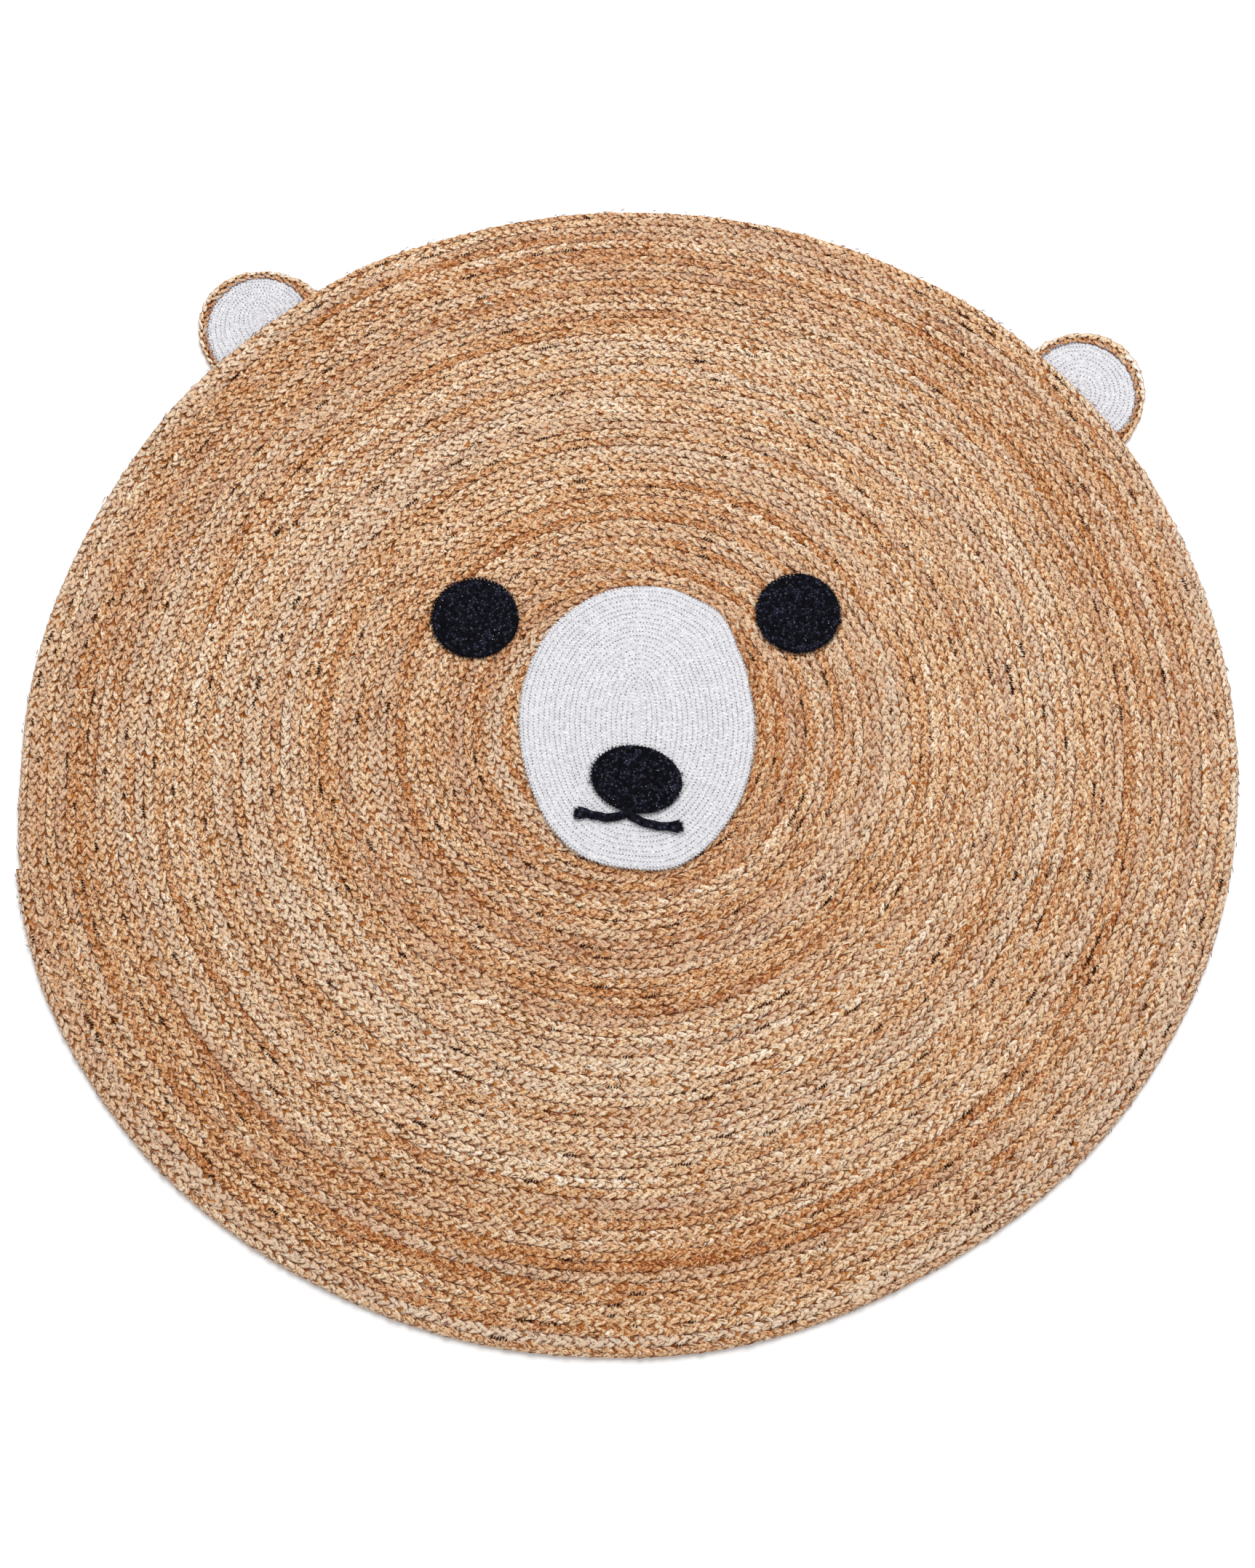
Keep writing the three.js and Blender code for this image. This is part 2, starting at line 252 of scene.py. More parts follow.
def ovalSpot(oval, share, angle):
    uneven = aroundTable(oval["edge"], np.degrees(angle) + oval["tilt"]) if "edge" in oval else 0
    grown = oval["wide"] * share + uneven * share ** 2
    x = (oval["long"] - oval["wide"] + grown) * np.cos(angle) + oval.get("heart", 0) * (1 - share)
    x, y = rotated(x, grown * np.sin(angle), oval["tilt"])
    return inFrame(oval, x + oval["x"], y + oval["y"])


# an ear has its own frame, with its origin on the rug's rim and +X outwards
def inFrame(plan, x, y):
    x, y = rotated(x + plan.get("out", 0), y, plan.get("turn", 0))
    return np.stack([x + heart[0], y + heart[1]], -1)


def rowWidth(mat, wound):
    return np.minimum(1, mat["tip"] + (1 - mat["tip"]) * (mat["turns"] - wound) / mat["tail"])


def seamDistance(mat, wound):
    return wound - 1 + rowWidth(mat, wound)


def matSpot(mat, distance, wound):
    meanEdge = mat["turns"] - 0.5 - (1 - mat["tip"]) * mat["tail"] / 2
    return ovalSpot(mat["oval"], distance / meanEdge, mat["start"] + mat["spin"] * wound * fullTurn)


# across is -1 on the row's inner seam, 0 on its crown and 1 on its outer seam
def rowSpot(mat, wound, across):
    return matSpot(mat, wound + rowWidth(mat, wound + 1) * (1 + across) / 2, wound)


# a mat's strand as a path, from first to last
def strandPath(mat, first):
    return {"spot": lambda wound, across: rowSpot(mat, wound, across),
            "width": lambda wound: rowWidth(mat, wound + 1),
            "first": first, "last": mat["turns"] - 1, "samples": 240}


# the mat's outer edge as a path, with across in rows beyond it
def edgePath(mat, samples):
    return {"spot": lambda wound, across: matSpot(mat, seamDistance(mat, wound) + across, wound),
            "first": mat["turns"] - 1, "last": mat["turns"] - 0.002, "samples": samples}


# places at even steps along a path, and the length run at each
def evenPlaces(path, pitch, shift=0.0):
    span = path["last"] - path["first"]
    fine = np.linspace(path["first"], path["last"], int(span * path["samples"]) + 1)
    run = runAlong(path["spot"](fine, 0))
    stops = np.arange(pitch / 2 + shift, run[-1] - pitch / 4, pitch)
    return np.interp(stops, run, fine), stops


# unit vectors along the path and outwards across it
def pathWays(path, place, across):
    step = 1 / path["samples"]
    ahead = unit(path["spot"](place + step, across) - path["spot"](place - step, across))
    outward = path["spot"](place, across + 0.1) - path["spot"](place, across)
    side = np.stack([-ahead[:, 1], ahead[:, 0]], -1)
    return ahead, side * np.sign((side * outward).sum(1, keepdims=True))


# how far a piece is lifted where nothing lies under it
def level(spots):
    return 0


# The body of a wound mat: a closed slab with its rows raised on both faces.
# Its map runs along the strand in pitches, and from -1 to 1 across each row.
def woundBody(name, mat, body, material, base=0.0, lift=level):
    steps, turns, clockwise = body["steps"], mat["turns"], mat["spin"] < 0
    seams = np.arange(steps, turns * steps + 1) / steps
    crowns = seams[seams <= turns - 1]
    rim = len(crowns) - 1  # from here on the seam is the mat's edge
    isEdge = seams >= turns - 1
    seamSpots = matSpot(mat, seamDistance(mat, seams) - body["inset"] * isEdge, seams)
    crownSpots = rowSpot(mat, crowns, 0)
    heartSpot = matSpot(mat, np.array([0.3]), np.array([-0.25]))  # inside the first turn
    points = np.concatenate([withZ(spots, base + height + lift(spots)) for spots, height in (
        (seamSpots, np.where(isEdge, body["edge"], body["topSeam"])), (crownSpots, body["topCrown"]),
        (seamSpots[:rim], body["lowSeam"]), (crownSpots, body["lowCrown"]),
        (heartSpot, body["topSeam"]), (heartSpot, body["lowSeam"]))])
    seamTop = np.arange(len(seams))
    crownTop = len(seams) + np.arange(len(crowns))
    seamLow = np.concatenate([crownTop[-1] + 1 + np.arange(rim), seamTop[rim:]])
    crownLow = crownTop + len(crowns) + rim
    heartTop, heartLow = len(points) - 2, len(points) - 1

    run = runAlong(crownSpots) / body["pitch"]
    here = np.arange(len(crowns) - 1)
    faces, corners, slots = [], [], []
    for near, far, across, slot in ((seamTop, crownTop, -1, 0), (crownTop, seamTop, 0, 0),
                                    (seamLow, crownLow, -1, 1), (crownLow, seamLow, 0, 1)):
        there = here + (steps if across == 0 else 0)  # a row's outer seam is the next turn's inner one
        quad = np.stack([near[here], far[there], far[there + 1], near[here + 1]], 1)
        mapped = np.zeros((len(here), 4, 2))
        mapped[:, :2, 0], mapped[:, 2:, 0] = run[here, None], run[here + 1, None]
        mapped[:, [0, 3], 1], mapped[:, [1, 2], 1] = across, across + 1
        if clockwise != bool(slot):
            quad, mapped = quad[:, ::-1], mapped[:, ::-1]
        for part in ([0, 1, 2], [0, 2, 3]):
            faces.append(quad[:, part])
            corners.append(mapped[:, part])
            slots.append(np.full(len(quad), slot))

    ring = np.arange(steps)
    for slot, fan in (
            (0, withZ(np.column_stack([seamTop[ring], seamTop[ring + 1]]), heartTop)),
            (0, [[seamTop[steps], crownTop[0], heartTop], [crownTop[0], seamTop[0], heartTop]]),
            (1, withZ(np.column_stack([seamLow[ring + 1], seamLow[ring]]), heartLow)),
            (1, [[crownLow[0], seamLow[steps], heartLow], [seamLow[0], crownLow[0], heartLow]]),
            (1, [[seamTop[rim], crownTop[-1], seamTop[-1]], [seamTop[rim], seamTop[-1], crownLow[-1]]])):
        fan = np.array(fan)
        faces.append(fan[:, ::-1] if clockwise else fan)
        corners.append(np.zeros((len(fan), 3, 2)))
        slots.append(np.full(len(fan), slot))
    return makePiece(name, points, np.concatenate(faces), material,
                     corners=np.concatenate(corners).reshape(-1, 2), slots=np.concatenate(slots))


# Patterns, each modelled once: a broad leaf for a strand's crossing, and slim spindles for stitches and hairs

def setMode(mode):
    bpy.ops.object.mode_set(mode=mode)


# adds a primitive that lies along X, with nothing else selected
def startPattern(primitive, **plan):
    bpy.ops.object.select_all(action="DESELECT")
    primitive(radius=1, rotation=(0, math.pi / 2, 0), **plan)
    bpy.ops.object.transform_apply(rotation=True)
    setMode("EDIT")
    bpy.ops.mesh.select_mode(type="VERT")
    setMode("OBJECT")


def selectWhere(test):
    setMode("EDIT")
    bpy.ops.mesh.select_all(action="DESELECT")
    setMode("OBJECT")
    for vertex in bpy.context.object.data.vertices:
        vertex.select = test(vertex.co)
    setMode("EDIT")


# the finished pattern's points and triangles, without its object
def takePattern():
    setMode("EDIT")
    bpy.ops.mesh.select_all(action="SELECT")
    bpy.ops.mesh.normals_make_consistent(inside=False)
    bpy.ops.mesh.quads_convert_to_tris()
    setMode("OBJECT")
    piece = bpy.context.object
    points = np.array([vertex.co[:] for vertex in piece.data.vertices])
    faces = np.array(sorted(face.vertices[:] for face in piece.data.polygons))  # in the same order each run
    bpy.data.objects.remove(piece)
    return {"points": points, "faces": faces}


# a six-sided bar along X with a flat top and pointed ends, 2 long and 2 wide
def modelLeaf():
    shoulder = 0.64  # where the ends start to narrow
    startPattern(bpy.ops.mesh.primitive_cylinder_add, vertices=6, depth=2 * shoulder, end_fill_type="TRIFAN")
    selectWhere(lambda co: abs(co.y) + abs(co.z) < 0.1)  # the middles of the two ends
    bpy.ops.transform.resize(value=(1 / shoulder, 1, 1), center_override=(0, 0, 0))
    setMode("OBJECT")
    return takePattern()


# one ring with a point at each end
def modelSpindle(sides):
    startPattern(bpy.ops.mesh.primitive_circle_add, vertices=sides)
    for way in (1, -1):
        selectWhere(lambda co: abs(co.x) < 0.01)
        bpy.ops.mesh.extrude_region_move(TRANSFORM_OT_translate={"value": (way, 0, 0)})
        bpy.ops.mesh.merge(type="CENTER")
        setMode("OBJECT")
    return takePattern()


leaf = modelLeaf()
stitch = modelSpindle(4)
hair = modelSpindle(3)
print("patterns modelled:", len(leaf["faces"]), len(stitch["faces"]), len(hair["faces"]))

floorGap = 0.02  # nothing laid sinks nearer to the floor
grainSpan = 400  # each copy takes its streaks from its own place in a patch this wide


# what layMany needs for each copy, its dip being how far its ends sink
def asPlaces(middle, axis, up, size, dip, **more):
    count = len(middle)
    return {"middle": middle, "axis": axis, "up": up, "size": size, "dip": np.broadcast_to(dip, count),
            "tone": np.full(count, 0.5), "grey": np.zeros(count), **more}


# lays a pattern at many places as one joined mesh
def layMany(name, pattern, places, material, smooth=True):
    axis = unit(places["axis"])
    across = unit(np.cross(places["up"], axis))
    up = np.cross(axis, across)
    shape, count = pattern["points"], len(axis)
    half = places["size"] / 2
    x, y, z = (shape[:, i] * half[:, i, None] for i in range(3))
    z = z - places["dip"][:, None] * shape[:, 0] ** 2
    points = (places["middle"][:, None] + x[..., None] * axis[:, None]
              + y[..., None] * across[:, None] + z[..., None] * up[:, None])
    points[..., 2] = np.maximum(points[..., 2], floorGap)
    faces = pattern["faces"] + (np.arange(count) * len(shape))[:, None, None]
    colour = np.ones((count, len(shape), 4))
    colour[..., 0] = places["tone"][:, None]
    colour[..., 1] = places["grey"][:, None]
    # blue marks where painted shade falls: 0 on top, 1 on the sides and below
    colour[..., 2] = 1 - np.clip(shape[:, 2] / shape[:, 2].max(), 0, 1)  # 0 on top, 1 on the sides and below
    grain = np.stack([x, y], -1) + dice.uniform(0, grainSpan, (count, 1, 2))
    return makePiece(name, points.reshape(-1, 3), faces.reshape(-1, 3), material, colour.reshape(-1, 4),
                     grain[:, pattern["faces"]].reshape(-1, 2), smooth=smooth)


# gives each copy its own tone around a mean, which may also wander along the path
def drawTones(places, mean, spread, row=0, step=70):
    run = places["run"]
    places["tone"] = np.clip(
        mean + (row * wander(run, step) if row else 0) + dice.normal(0, spread, len(run)), 0, 1)


def joinPlaces(sets):
    return {key: np.concatenate([each[key] for each in sets]) for key in sets[0]}


def somePlaces(places, chosen):
    return {key: value[chosen] for key, value in places.items()}


# One lane of a braid: its leaves lie like one side of a herringbone, slanting outwards as the braid runs on.
# Each falls from the row's middle to its seam by slope, and leans so that it laps over the one behind it.
# A pair in the braid's table is a mean and a spread.
def braidLane(path, braid, lane, base=0.0, lift=level):
    place, run = evenPlaces(path, braid["pitch"], 0 if lane > 0 else braid["pitch"] / 2)
    count = len(place)
    wide = path["width"](place)
    middle, drift = braid["lane"]
    across = dice.normal(lane * middle, drift, count)
    ahead, side = pathWays(path, place, across)
    spots = path["spot"](place, across) + ahead * dice.normal(0, braid["slip"], (count, 1))
    slant, slope, lean = (np.radians(dice.normal(*braid[turn], (count, 1)))
                          for turn in ("slant", "slope", "lean"))
    flat = ahead * np.cos(slant) + lane * side * np.sin(slant)
    beside = ahead * np.sin(slant) - lane * side * np.cos(slant)
    size = np.array(braid["leaf"]) * (1 + dice.normal(0, 1, (count, 3)) * np.array(braid["leafSpread"]))
    size[:, 0] *= wide ** 0.5
    size[:, 1] *= wide
    height, uneven = braid["height"]
    high = dice.normal(base + height, uneven, count) + lift(spots)
    return asPlaces(withZ(spots, high), np.column_stack([flat, -np.tan(slope)]),
                    np.column_stack([beside * np.sin(lean), np.cos(lean)]), size, braid["dip"], run=run,
                    place=place, strand=(np.arange(count) - (lane < 0)) % 3, lane=np.full(count, lane))


# a braid's edge seen from the side: the strands turn over the rim and back under
def turnsOver(rim, look, lift=level):
    place, run = evenPlaces(rim, look["pitch"])
    count = len(place)
    ahead, side = pathWays(rim, place, 0)
    spots = rim["spot"](place, 0) - side * look["inset"]
    slant, lean = math.radians(look["slant"]), math.radians(look["leanOut"])
    return asPlaces(withZ(spots, look["height"] + lift(spots)),
                    withZ(ahead * math.cos(slant), -math.sin(slant)),
                    withZ(side * math.sin(lean), math.cos(lean)),
                    np.array(look["size"]) * dice.normal(1, look["spread"], (count, 3)), 0,
                    run=run, place=place, strand=np.arange(count) % 3, lane=np.ones(count))


# thin threads from point to point, each a hair that bows up by its arch
def layThreads(name, starts, ends, width, arch, tone, material):
    axis, middle = ends - starts, (starts + ends) / 2
    middle[:, 2] += arch
    count = len(axis)
    width = np.broadcast_to(width, count)
    size = np.column_stack([np.linalg.norm(axis, axis=1), width, width])
    upright = np.broadcast_to([0.0, 0.0, 1.0], (count, 3))
    return layMany(name, hair, asPlaces(middle, axis, upright, size, arch, tone=tone), material)


# Short threads laid over a path as marks: their place across the row, turn from the path's way in degrees,
# length, width, height and tone, drawn in the order in which the look lists them.
def layMarks(name, path, place, look, material, lift=level):
    count = len(place)
    mirror = dice.choice([-1.0, 1.0], count) if "mirrored" in look else 1
    own = {key: value(count) if callable(value) else value for key, value in look.items()}
    for key in look.get("mirrored", ()):
        own[key] = own[key] * mirror
    ahead, side = pathWays(path, place, own["across"])
    turn = np.radians(np.reshape(own["turn"], (-1, 1)))
    half = (ahead * np.cos(turn) + side * np.sin(turn)) * np.reshape(own["length"], (-1, 1)) / 2
    middle = path["spot"](place, own["across"])
    high = own["height"] + lift(middle)
    sink = own.get("tilt", 0) + own.get("fall", 0) * np.sign(own["turn"])  # from the middle to the far end
    starts, ends = (withZ(middle + way * half, high - way * sink) for way in (-1, 1))
    tone = np.clip(own["tone"], 0, 1)
    return layThreads(name, starts, ends, own["width"], own.get("arch", 0), tone, material)


# Materials

# Retted jute, combed into flat strands and braided: dry, matt and faintly silky, with fine streaks along each
# strand. Tone runs from rust brown to cream by strand, and painted shade darkens each crossing's sides and
# underside, where it dives under.
juteLook = {
    "tones": ((0.0, "#7a2e0a"), (0.25, "#b87137"), (0.5, "#d7ac7e"), (0.75, "#e8d2b4"), (1.0, "#faf3e6")),
    # edge is the colour of the painted shade on each strand's sides and underside; the power after it sets
    # how soon it comes in
    "grey": "#d3bca5", "edge": "#662406", "edgePower": 2.2, "crack": 0.8, "crackColour": "#5e2606",
    "streak": (4.0, 0.5, 1.2),  # length and width in mm, and strength; finer fibres can't show here
    "bundle": (3.2, 2.0, 1.5), "roughness": 0.75, "bump": 0.6, "gloss": 0.25,
}

# Spun cotton cord, braided and bleached or dyed: soft and matt, with painted shade on its stitches' sides
# where they meet
whiteLook = {
    "tones": ((0.0, "#d1cfd3"), (0.5, "#e1e0e2"), (1.0, "#f0efef")),
    # edge is the colour of the painted shade on each stitch's sides and underside; the power after it sets
    # how soon it comes in
    "grey": "#dcdce2", "edge": "#d3d3d9", "edgePower": 3.0, "crack": 0.25, "crackColour": "#b4b4bd",
    "streak": (2.5, 0.5, 0.3), "bundle": (5.0, 1.5, 0.2), "roughness": 0.92, "bump": 0.3, "gloss": 0.25,
}
darkLook = {
    "tones": ((0.0, "#030307"), (0.5, "#0d0d16"), (1.0, "#424459")),
    # edge is the colour of the painted shade on each stitch's sides and underside; the power after it sets
    # how soon it comes in
    "grey": "#3a3c4a", "edge": "#06060b", "edgePower": 2.0, "crack": 0.3, "crackColour": "#05050a",
    "streak": (1.2, 0.6, 1.0), "bundle": (5.0, 1.5, 0.1), "roughness": 0.88, "bump": 0.4, "gloss": 0.08,
}


# each copy's tone is red, its greyness green, and blue the mask for painted shade on its sides and underside
def ownParts(material):
    own = addNode(material, "Attribute", settings={"attribute_name": "tone"})
    return addNode(material, "SeparateColor", {"Color": own["Color"]})


def strandMaterial(name, look):
    material = newMaterial(name)
    add, sums, own = partial(addNode, material), partial(calculate, material), ownParts(material)
    grain = add("UVMap", settings={"uv_map": "grain"})["UV"]

    def streaks(kind):
        length, width, amount = look[kind]
        scaled = add("Mapping", {"Vector": grain, "Scale": (1 / length, 1 / width, 1)})["Vector"]
        noise = add("TexNoise", {"Vector": scaled, "Scale": 1.0, "Detail": 2.0, "Roughness": 0.6})["Fac"]
        return noise, sums("MULTIPLY_ADD", noise, amount, -amount / 2)

    streak, fine = streaks("streak")
    bundle, coarse = streaks("bundle")
    crack = add("MapRange", {"Value": bundle, "From Min": 0.44, "From Max": 0.36, "To Max": look["crack"]})
    place = sums("ADD", own["Red"], sums("ADD", fine, coarse))
    colour = add("ValToRGB", {"Fac": place}, stops=look["tones"])["Color"]
    # painted shade: the edge colour comes in towards each copy's sides and underside
    rim = sums("POWER", own["Blue"], look["edgePower"])
    for share, over in ((own["Green"], "grey"), (crack["Result"], "crackColour"), (rim, "edge")):
        colour = add("Mix", {6: colour, 7: toLinear(look[over]), "Factor": share}, {"data_type": "RGBA"})[2]
    return endMaterial(material, colour, look["roughness"], look["gloss"], (streak, look["bump"], 0.4))


# what is seen between the strands and along a side: the same fibre, mottled, and given darker colours than
# the strands where it stands for painted shade
def bodyMaterial(name, dark, light, mottle):
    material = newMaterial(name)
    place = addNode(material, "TexCoord")["Object"]
    noise = addNode(material, "TexNoise", {"Vector": place, "Scale": 1 / (mottle * mm), "Detail": 3.0})["Fac"]
    tone = addNode(material, "ValToRGB", {"Fac": noise}, stops=((0.3, dark), (0.7, light)))
    return endMaterial(material, tone["Color"], 0.9, 0.1, (noise, 0.5, 0.5))


# The back of a wound braid: on the body's map the two lanes of each row lie in a herringbone,
# each strand with its own tone, raised in its middle and darkened towards its low edges as painted shade.
def backMaterial(name, tones, relief):
    material = newMaterial(name)
    add, sums = partial(addNode, material), partial(calculate, material)
    grain = add("UVMap", settings={"uv_map": "grain"})["UV"]
    parts = add("SeparateXYZ", {"Vector": grain})
    width, lane = sums("ABSOLUTE", parts["Y"]), sums("GREATER_THAN", parts["Y"], 0.0)
    shifted = sums("ADD", parts["X"], sums("MULTIPLY", lane, 0.5))  # one lane is half a strand ahead
    slanted = sums("SUBTRACT", shifted, sums("MULTIPLY", width, 0.6))
    bows = [sums("SINE", sums("MULTIPLY", part, math.pi)) for part in (sums("FRACT", slanted), width)]
    height = sums("POWER", sums("MULTIPLY", *bows), 0.5)
    strand = add("CombineXYZ", {"X": sums("FLOOR", slanted), "Y": lane})["Vector"]
    own = add("TexWhiteNoise", {"Vector": strand}, {"noise_dimensions": "2D"})["Value"]
    noise = add("TexNoise", {"Vector": grain, "Scale": 5.0, "Detail": 3.0})["Fac"]
    mixed = add("Mix", {"Factor": 0.55, 2: own, 3: noise}, {"data_type": "FLOAT"})[0]
    # painted shade: the colour darkens where the strand is low
    shade = sums("MULTIPLY", mixed, sums("MULTIPLY_ADD", height, 0.8, 0.35))
    tone = add("ValToRGB", {"Fac": shade}, stops=tones)
    return endMaterial(material, tone["Color"], 0.85, 0.2, (height, 0.7, relief))


# threads and loose hairs, each in one even colour by its tone
def threadMaterial(name, dark, light, gloss=0.3):
    material = newMaterial(name)
    tone = addNode(material, "ValToRGB", {"Fac": ownParts(material)["Red"]},
                   stops=((0.0, dark), (1.0, light)))
    return endMaterial(material, tone["Color"], 0.7, gloss)


juteStrand = strandMaterial("braided jute", juteLook)
# the jute's own fibre, painted darker and redder than the strands as the shade between them
juteCore = bodyMaterial("jute between the strands", "#84400f", "#c4803f", 1.6)
juteBack = backMaterial("back of the braided jute",
                        ((0.1, "#6d3a1a"), (0.45, "#bd8750"), (0.9, "#e9c9a2")), 1.5)
whiteStitch = strandMaterial("braided white cotton", whiteLook)
whiteCore = bodyMaterial("white cotton between the stitches", "#d1cfd3", "#e0e0e4", 2.0)
whiteBack = backMaterial("back of the braided white cotton",
                         ((0.1, "#c9c9cf"), (0.45, "#e6e6ea"), (0.9, "#f4f4f6")), 0.8)
darkStitch = strandMaterial("braided navy black cotton", darkLook)
darkCore = bodyMaterial("navy black cotton between the stitches", "#0a0a10", "#12131a", 2.0)
darkCord = bodyMaterial("navy black cotton cord", "#07070d", "#1a1b28", 0.9)
juteEdge = bodyMaterial("jute braid turned over the edge", "#a9713f", "#dcb68d", 2.5)
juteThread = threadMaterial("loose jute fibre", "#b5804f", "#f6e6cf")
whiteThread = threadMaterial("white cotton fluff", "#c4c4cb", "#f4f4f6")
darkThread = threadMaterial("navy black cotton fluff", "#050508", "#1b1c26", 0.08)
lintThread = threadMaterial("lint on dark cotton", "#2a2c38", "#f2f2f4")
gapShade = threadMaterial("painted shade in a gap in the braid", "#120703", "#6a3010", 0.05)
creaseShade = threadMaterial("jute in the shade between two strands", "#1e0801", "#9a420e", 0.05)
holeShade = threadMaterial("painted shade in a needle hole in white cotton", "#23232b", "#a0a0a8", 0.05)


# The jute field

fieldEdge = (  # angle in degrees, and how far the rim stands out from the circle there
    (0, -0.8), (20, 2.8), (42, 4.9), (62, 7.5), (90, 5.1), (112, 4.1), (134, -2.7), (158, -4.2),
    (182, -1.4), (196, 7), (222, 6), (250, 0.6), (274, -3.1), (298, -9.7), (322, -4.7), (345, -1.6))
fieldRadius = 600.0
field = {
    "oval": {"long": fieldRadius, "wide": fieldRadius, "tilt": 0, "x": 0, "y": 0, "edge": fieldEdge},
    "turns": 64, "start": math.radians(193.8), "spin": -1, "tip": 0.35,
    "tail": 130 / (fullTurn * fieldRadius),
}
earAngles = (130.5, 38.4)
earLift = {"high": 6.8, "flat": 10.3, "fade": 12.4, "from": 500, "full": 565}


# the rug rises where it lies over an ear
def liftOverEars(spots):
    x, y = spots[:, 0] - heart[0], spots[:, 1] - heart[1]
    nearRim = smoothstep(np.hypot(x, y), earLift["from"], earLift["full"])
    angle = np.degrees(np.arctan2(y, x))
    rises = [1 - smoothstep(np.abs(np.mod(angle - ear + 180, 360) - 180),
                            earLift["flat"], earLift["flat"] + earLift["fade"]) for ear in earAngles]
    return earLift["high"] * nearRim * np.maximum(*rises)


# the spiral's heart in the row frame, from where the rug's own box lies
def findHeart():
    rimSteps = 54  # as the solid's last turn has
    wound = field["turns"] - 1 + np.arange(rimSteps + 1) / rimSteps
    rim = matSpot(field, seamDistance(field, wound), wound)
    low, high = (np.array(corner[:2]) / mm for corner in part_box("rug_field"))
    return (low + high) / 2 - (rim.min(0) + rim.max(0)) / 2


heart = findHeart()
print("heart of the spiral", heart.round(2))

fieldBody = {"steps": 96, "inset": 0.12, "edge": 4.0, "topSeam": 6.7, "topCrown": 7.5,
             "lowSeam": 1.2, "lowCrown": 0.0, "pitch": 10.8}
fieldBraid = {"pitch": 10.8, "lane": (0.48, 0.05), "leaf": (15.5, 6.0, 3.6), "leafSpread": (0.12, 0.12, 0.1),
              "slant": (24.0, 5.0), "slope": (8.0, 4.5), "lean": (6.0, 4.5), "height": (7.4, 0.22),
              "slip": 0.8, "dip": 1.1, "zones": 4, "firstRow": 10.3}
rimFold = {"length": 0.66, "inset": 2.3, "drop": 1.2, "outwards": 0.16}  # the strands turn down at the rim
rimTurns = {"pitch": 10.8, "size": (20.0, 6.0, 3.6), "spread": 0.07, "height": 4.6, "slant": 9.0,
            "inset": 3.3, "leanOut": 62.0}

toneBands = np.array([  # from the heart to the rim: share of the radius, tone, greyness
    (0.10, 0.44, 0.20), (0.30, 0.44, 0.12), (0.46, 0.47, 0.12), (0.54, 0.54, 0.20), (0.70, 0.54, 0.16),
    (0.78, 0.52, 0.14), (0.84, 0.41, 0.08), (0.92, 0.48, 0.14), (0.97, 0.54, 0.32)]).T
toneSpread = {"row": 0.135, "thread": 0.11, "short": 0.07, "leaf": 0.05, "greyRow": 0.42, "greyLeaf": 0.08}
toneSteps = {"row": 300, "thread": (380, 90), "short": (34, 41)}  # mm from one aim to the next


# each of the braid's three threads has its own slowly changing tone
def toneField(places):
    run, share = places["run"], places["place"] / field["turns"]
    at, tone, grey = toneBands
    count = len(run)
    threads = np.stack([sum(0.6 * wander(run, step) for step in toneSteps["thread"]) for _ in range(3)], 1)
    own = threads[np.arange(count), places["strand"]]
    lanes = np.where(places["lane"] > 0, *(wander(run, step) for step in toneSteps["short"]))
    places["tone"] = np.clip(
        np.interp(share, at, tone) + toneSpread["row"] * wander(run, toneSteps["row"])
        + toneSpread["thread"] * own + toneSpread["short"] * lanes
        + dice.normal(0, toneSpread["leaf"], count), 0.02, 0.98)
    places["grey"] = np.clip(
        np.interp(share, at, grey) + toneSpread["greyRow"] * wander(run, toneSteps["row"])
        + dice.normal(0, toneSpread["greyLeaf"], count), 0, 0.9)


def layField():
    path = strandPath(field, fieldBraid["firstRow"])
    places = joinPlaces([braidLane(path, fieldBraid, lane, lift=liftOverEars) for lane in (1, -1)])
    atRim = (places["lane"] > 0) & (places["place"] > field["turns"] - 2)
    outwards = unit(places["middle"][atRim, :2] - heart)
    places["size"][atRim, 0] *= rimFold["length"]
    places["middle"][atRim, :2] -= rimFold["inset"] * outwards
    places["middle"][atRim, 2] -= rimFold["drop"]
    places["axis"][atRim, :2] = outwards[:, ::-1] * (1, -1) + rimFold["outwards"] * outwards
    toneField(places)
    zones = np.array_split(np.argsort(places["run"]), fieldBraid["zones"])
    return [layMany(f"rug_braid_{number}", leaf, somePlaces(places, zone), juteStrand)
            for number, zone in enumerate(zones, 1)]


def layRimTurns():
    places = turnsOver(edgePath(field, 2000), rimTurns, liftOverEars)
    toneField(places)
    return layMany("rug_rim", leaf, places, juteStrand)


# The zigzag seam that joins the rows: a pale jute thread, in sight where it isn't sunk in
zigzag = {"step": 3.9, "slant": 52.0, "shown": 0.2, "patch": 46, "across": around(1, 0.085), "length": 6.3,
          "width": 0.75, "height": around(8.9, 0.15), "tone": around(0.6, 0.25), "arch": -0.7}

# painted shade along the groove between two rows, shown in some stretches and not in others
groove = {"step": 9.0, "shown": -0.25, "patch": 55, "across": around(1, 0.06), "turn": around(0, 7),
          "length": 11.0, "width": between(0.7, 1.4), "height": 8.5, "tone": between(0.1, 1)}

# loose fibres that stand out of the braid
fluff = {"count": 10500, "rowsLeft": 2, "mirrored": ["across"], "across": around(0.95, 0.25),
         "turn": around(90, 34), "length": between(3.0, 8.0), "width": between(0.4, 0.9),
         "height": between(8.6, 9.6), "tone": around(0.65, 0.28), "tilt": between(-0.6, 0.6)}

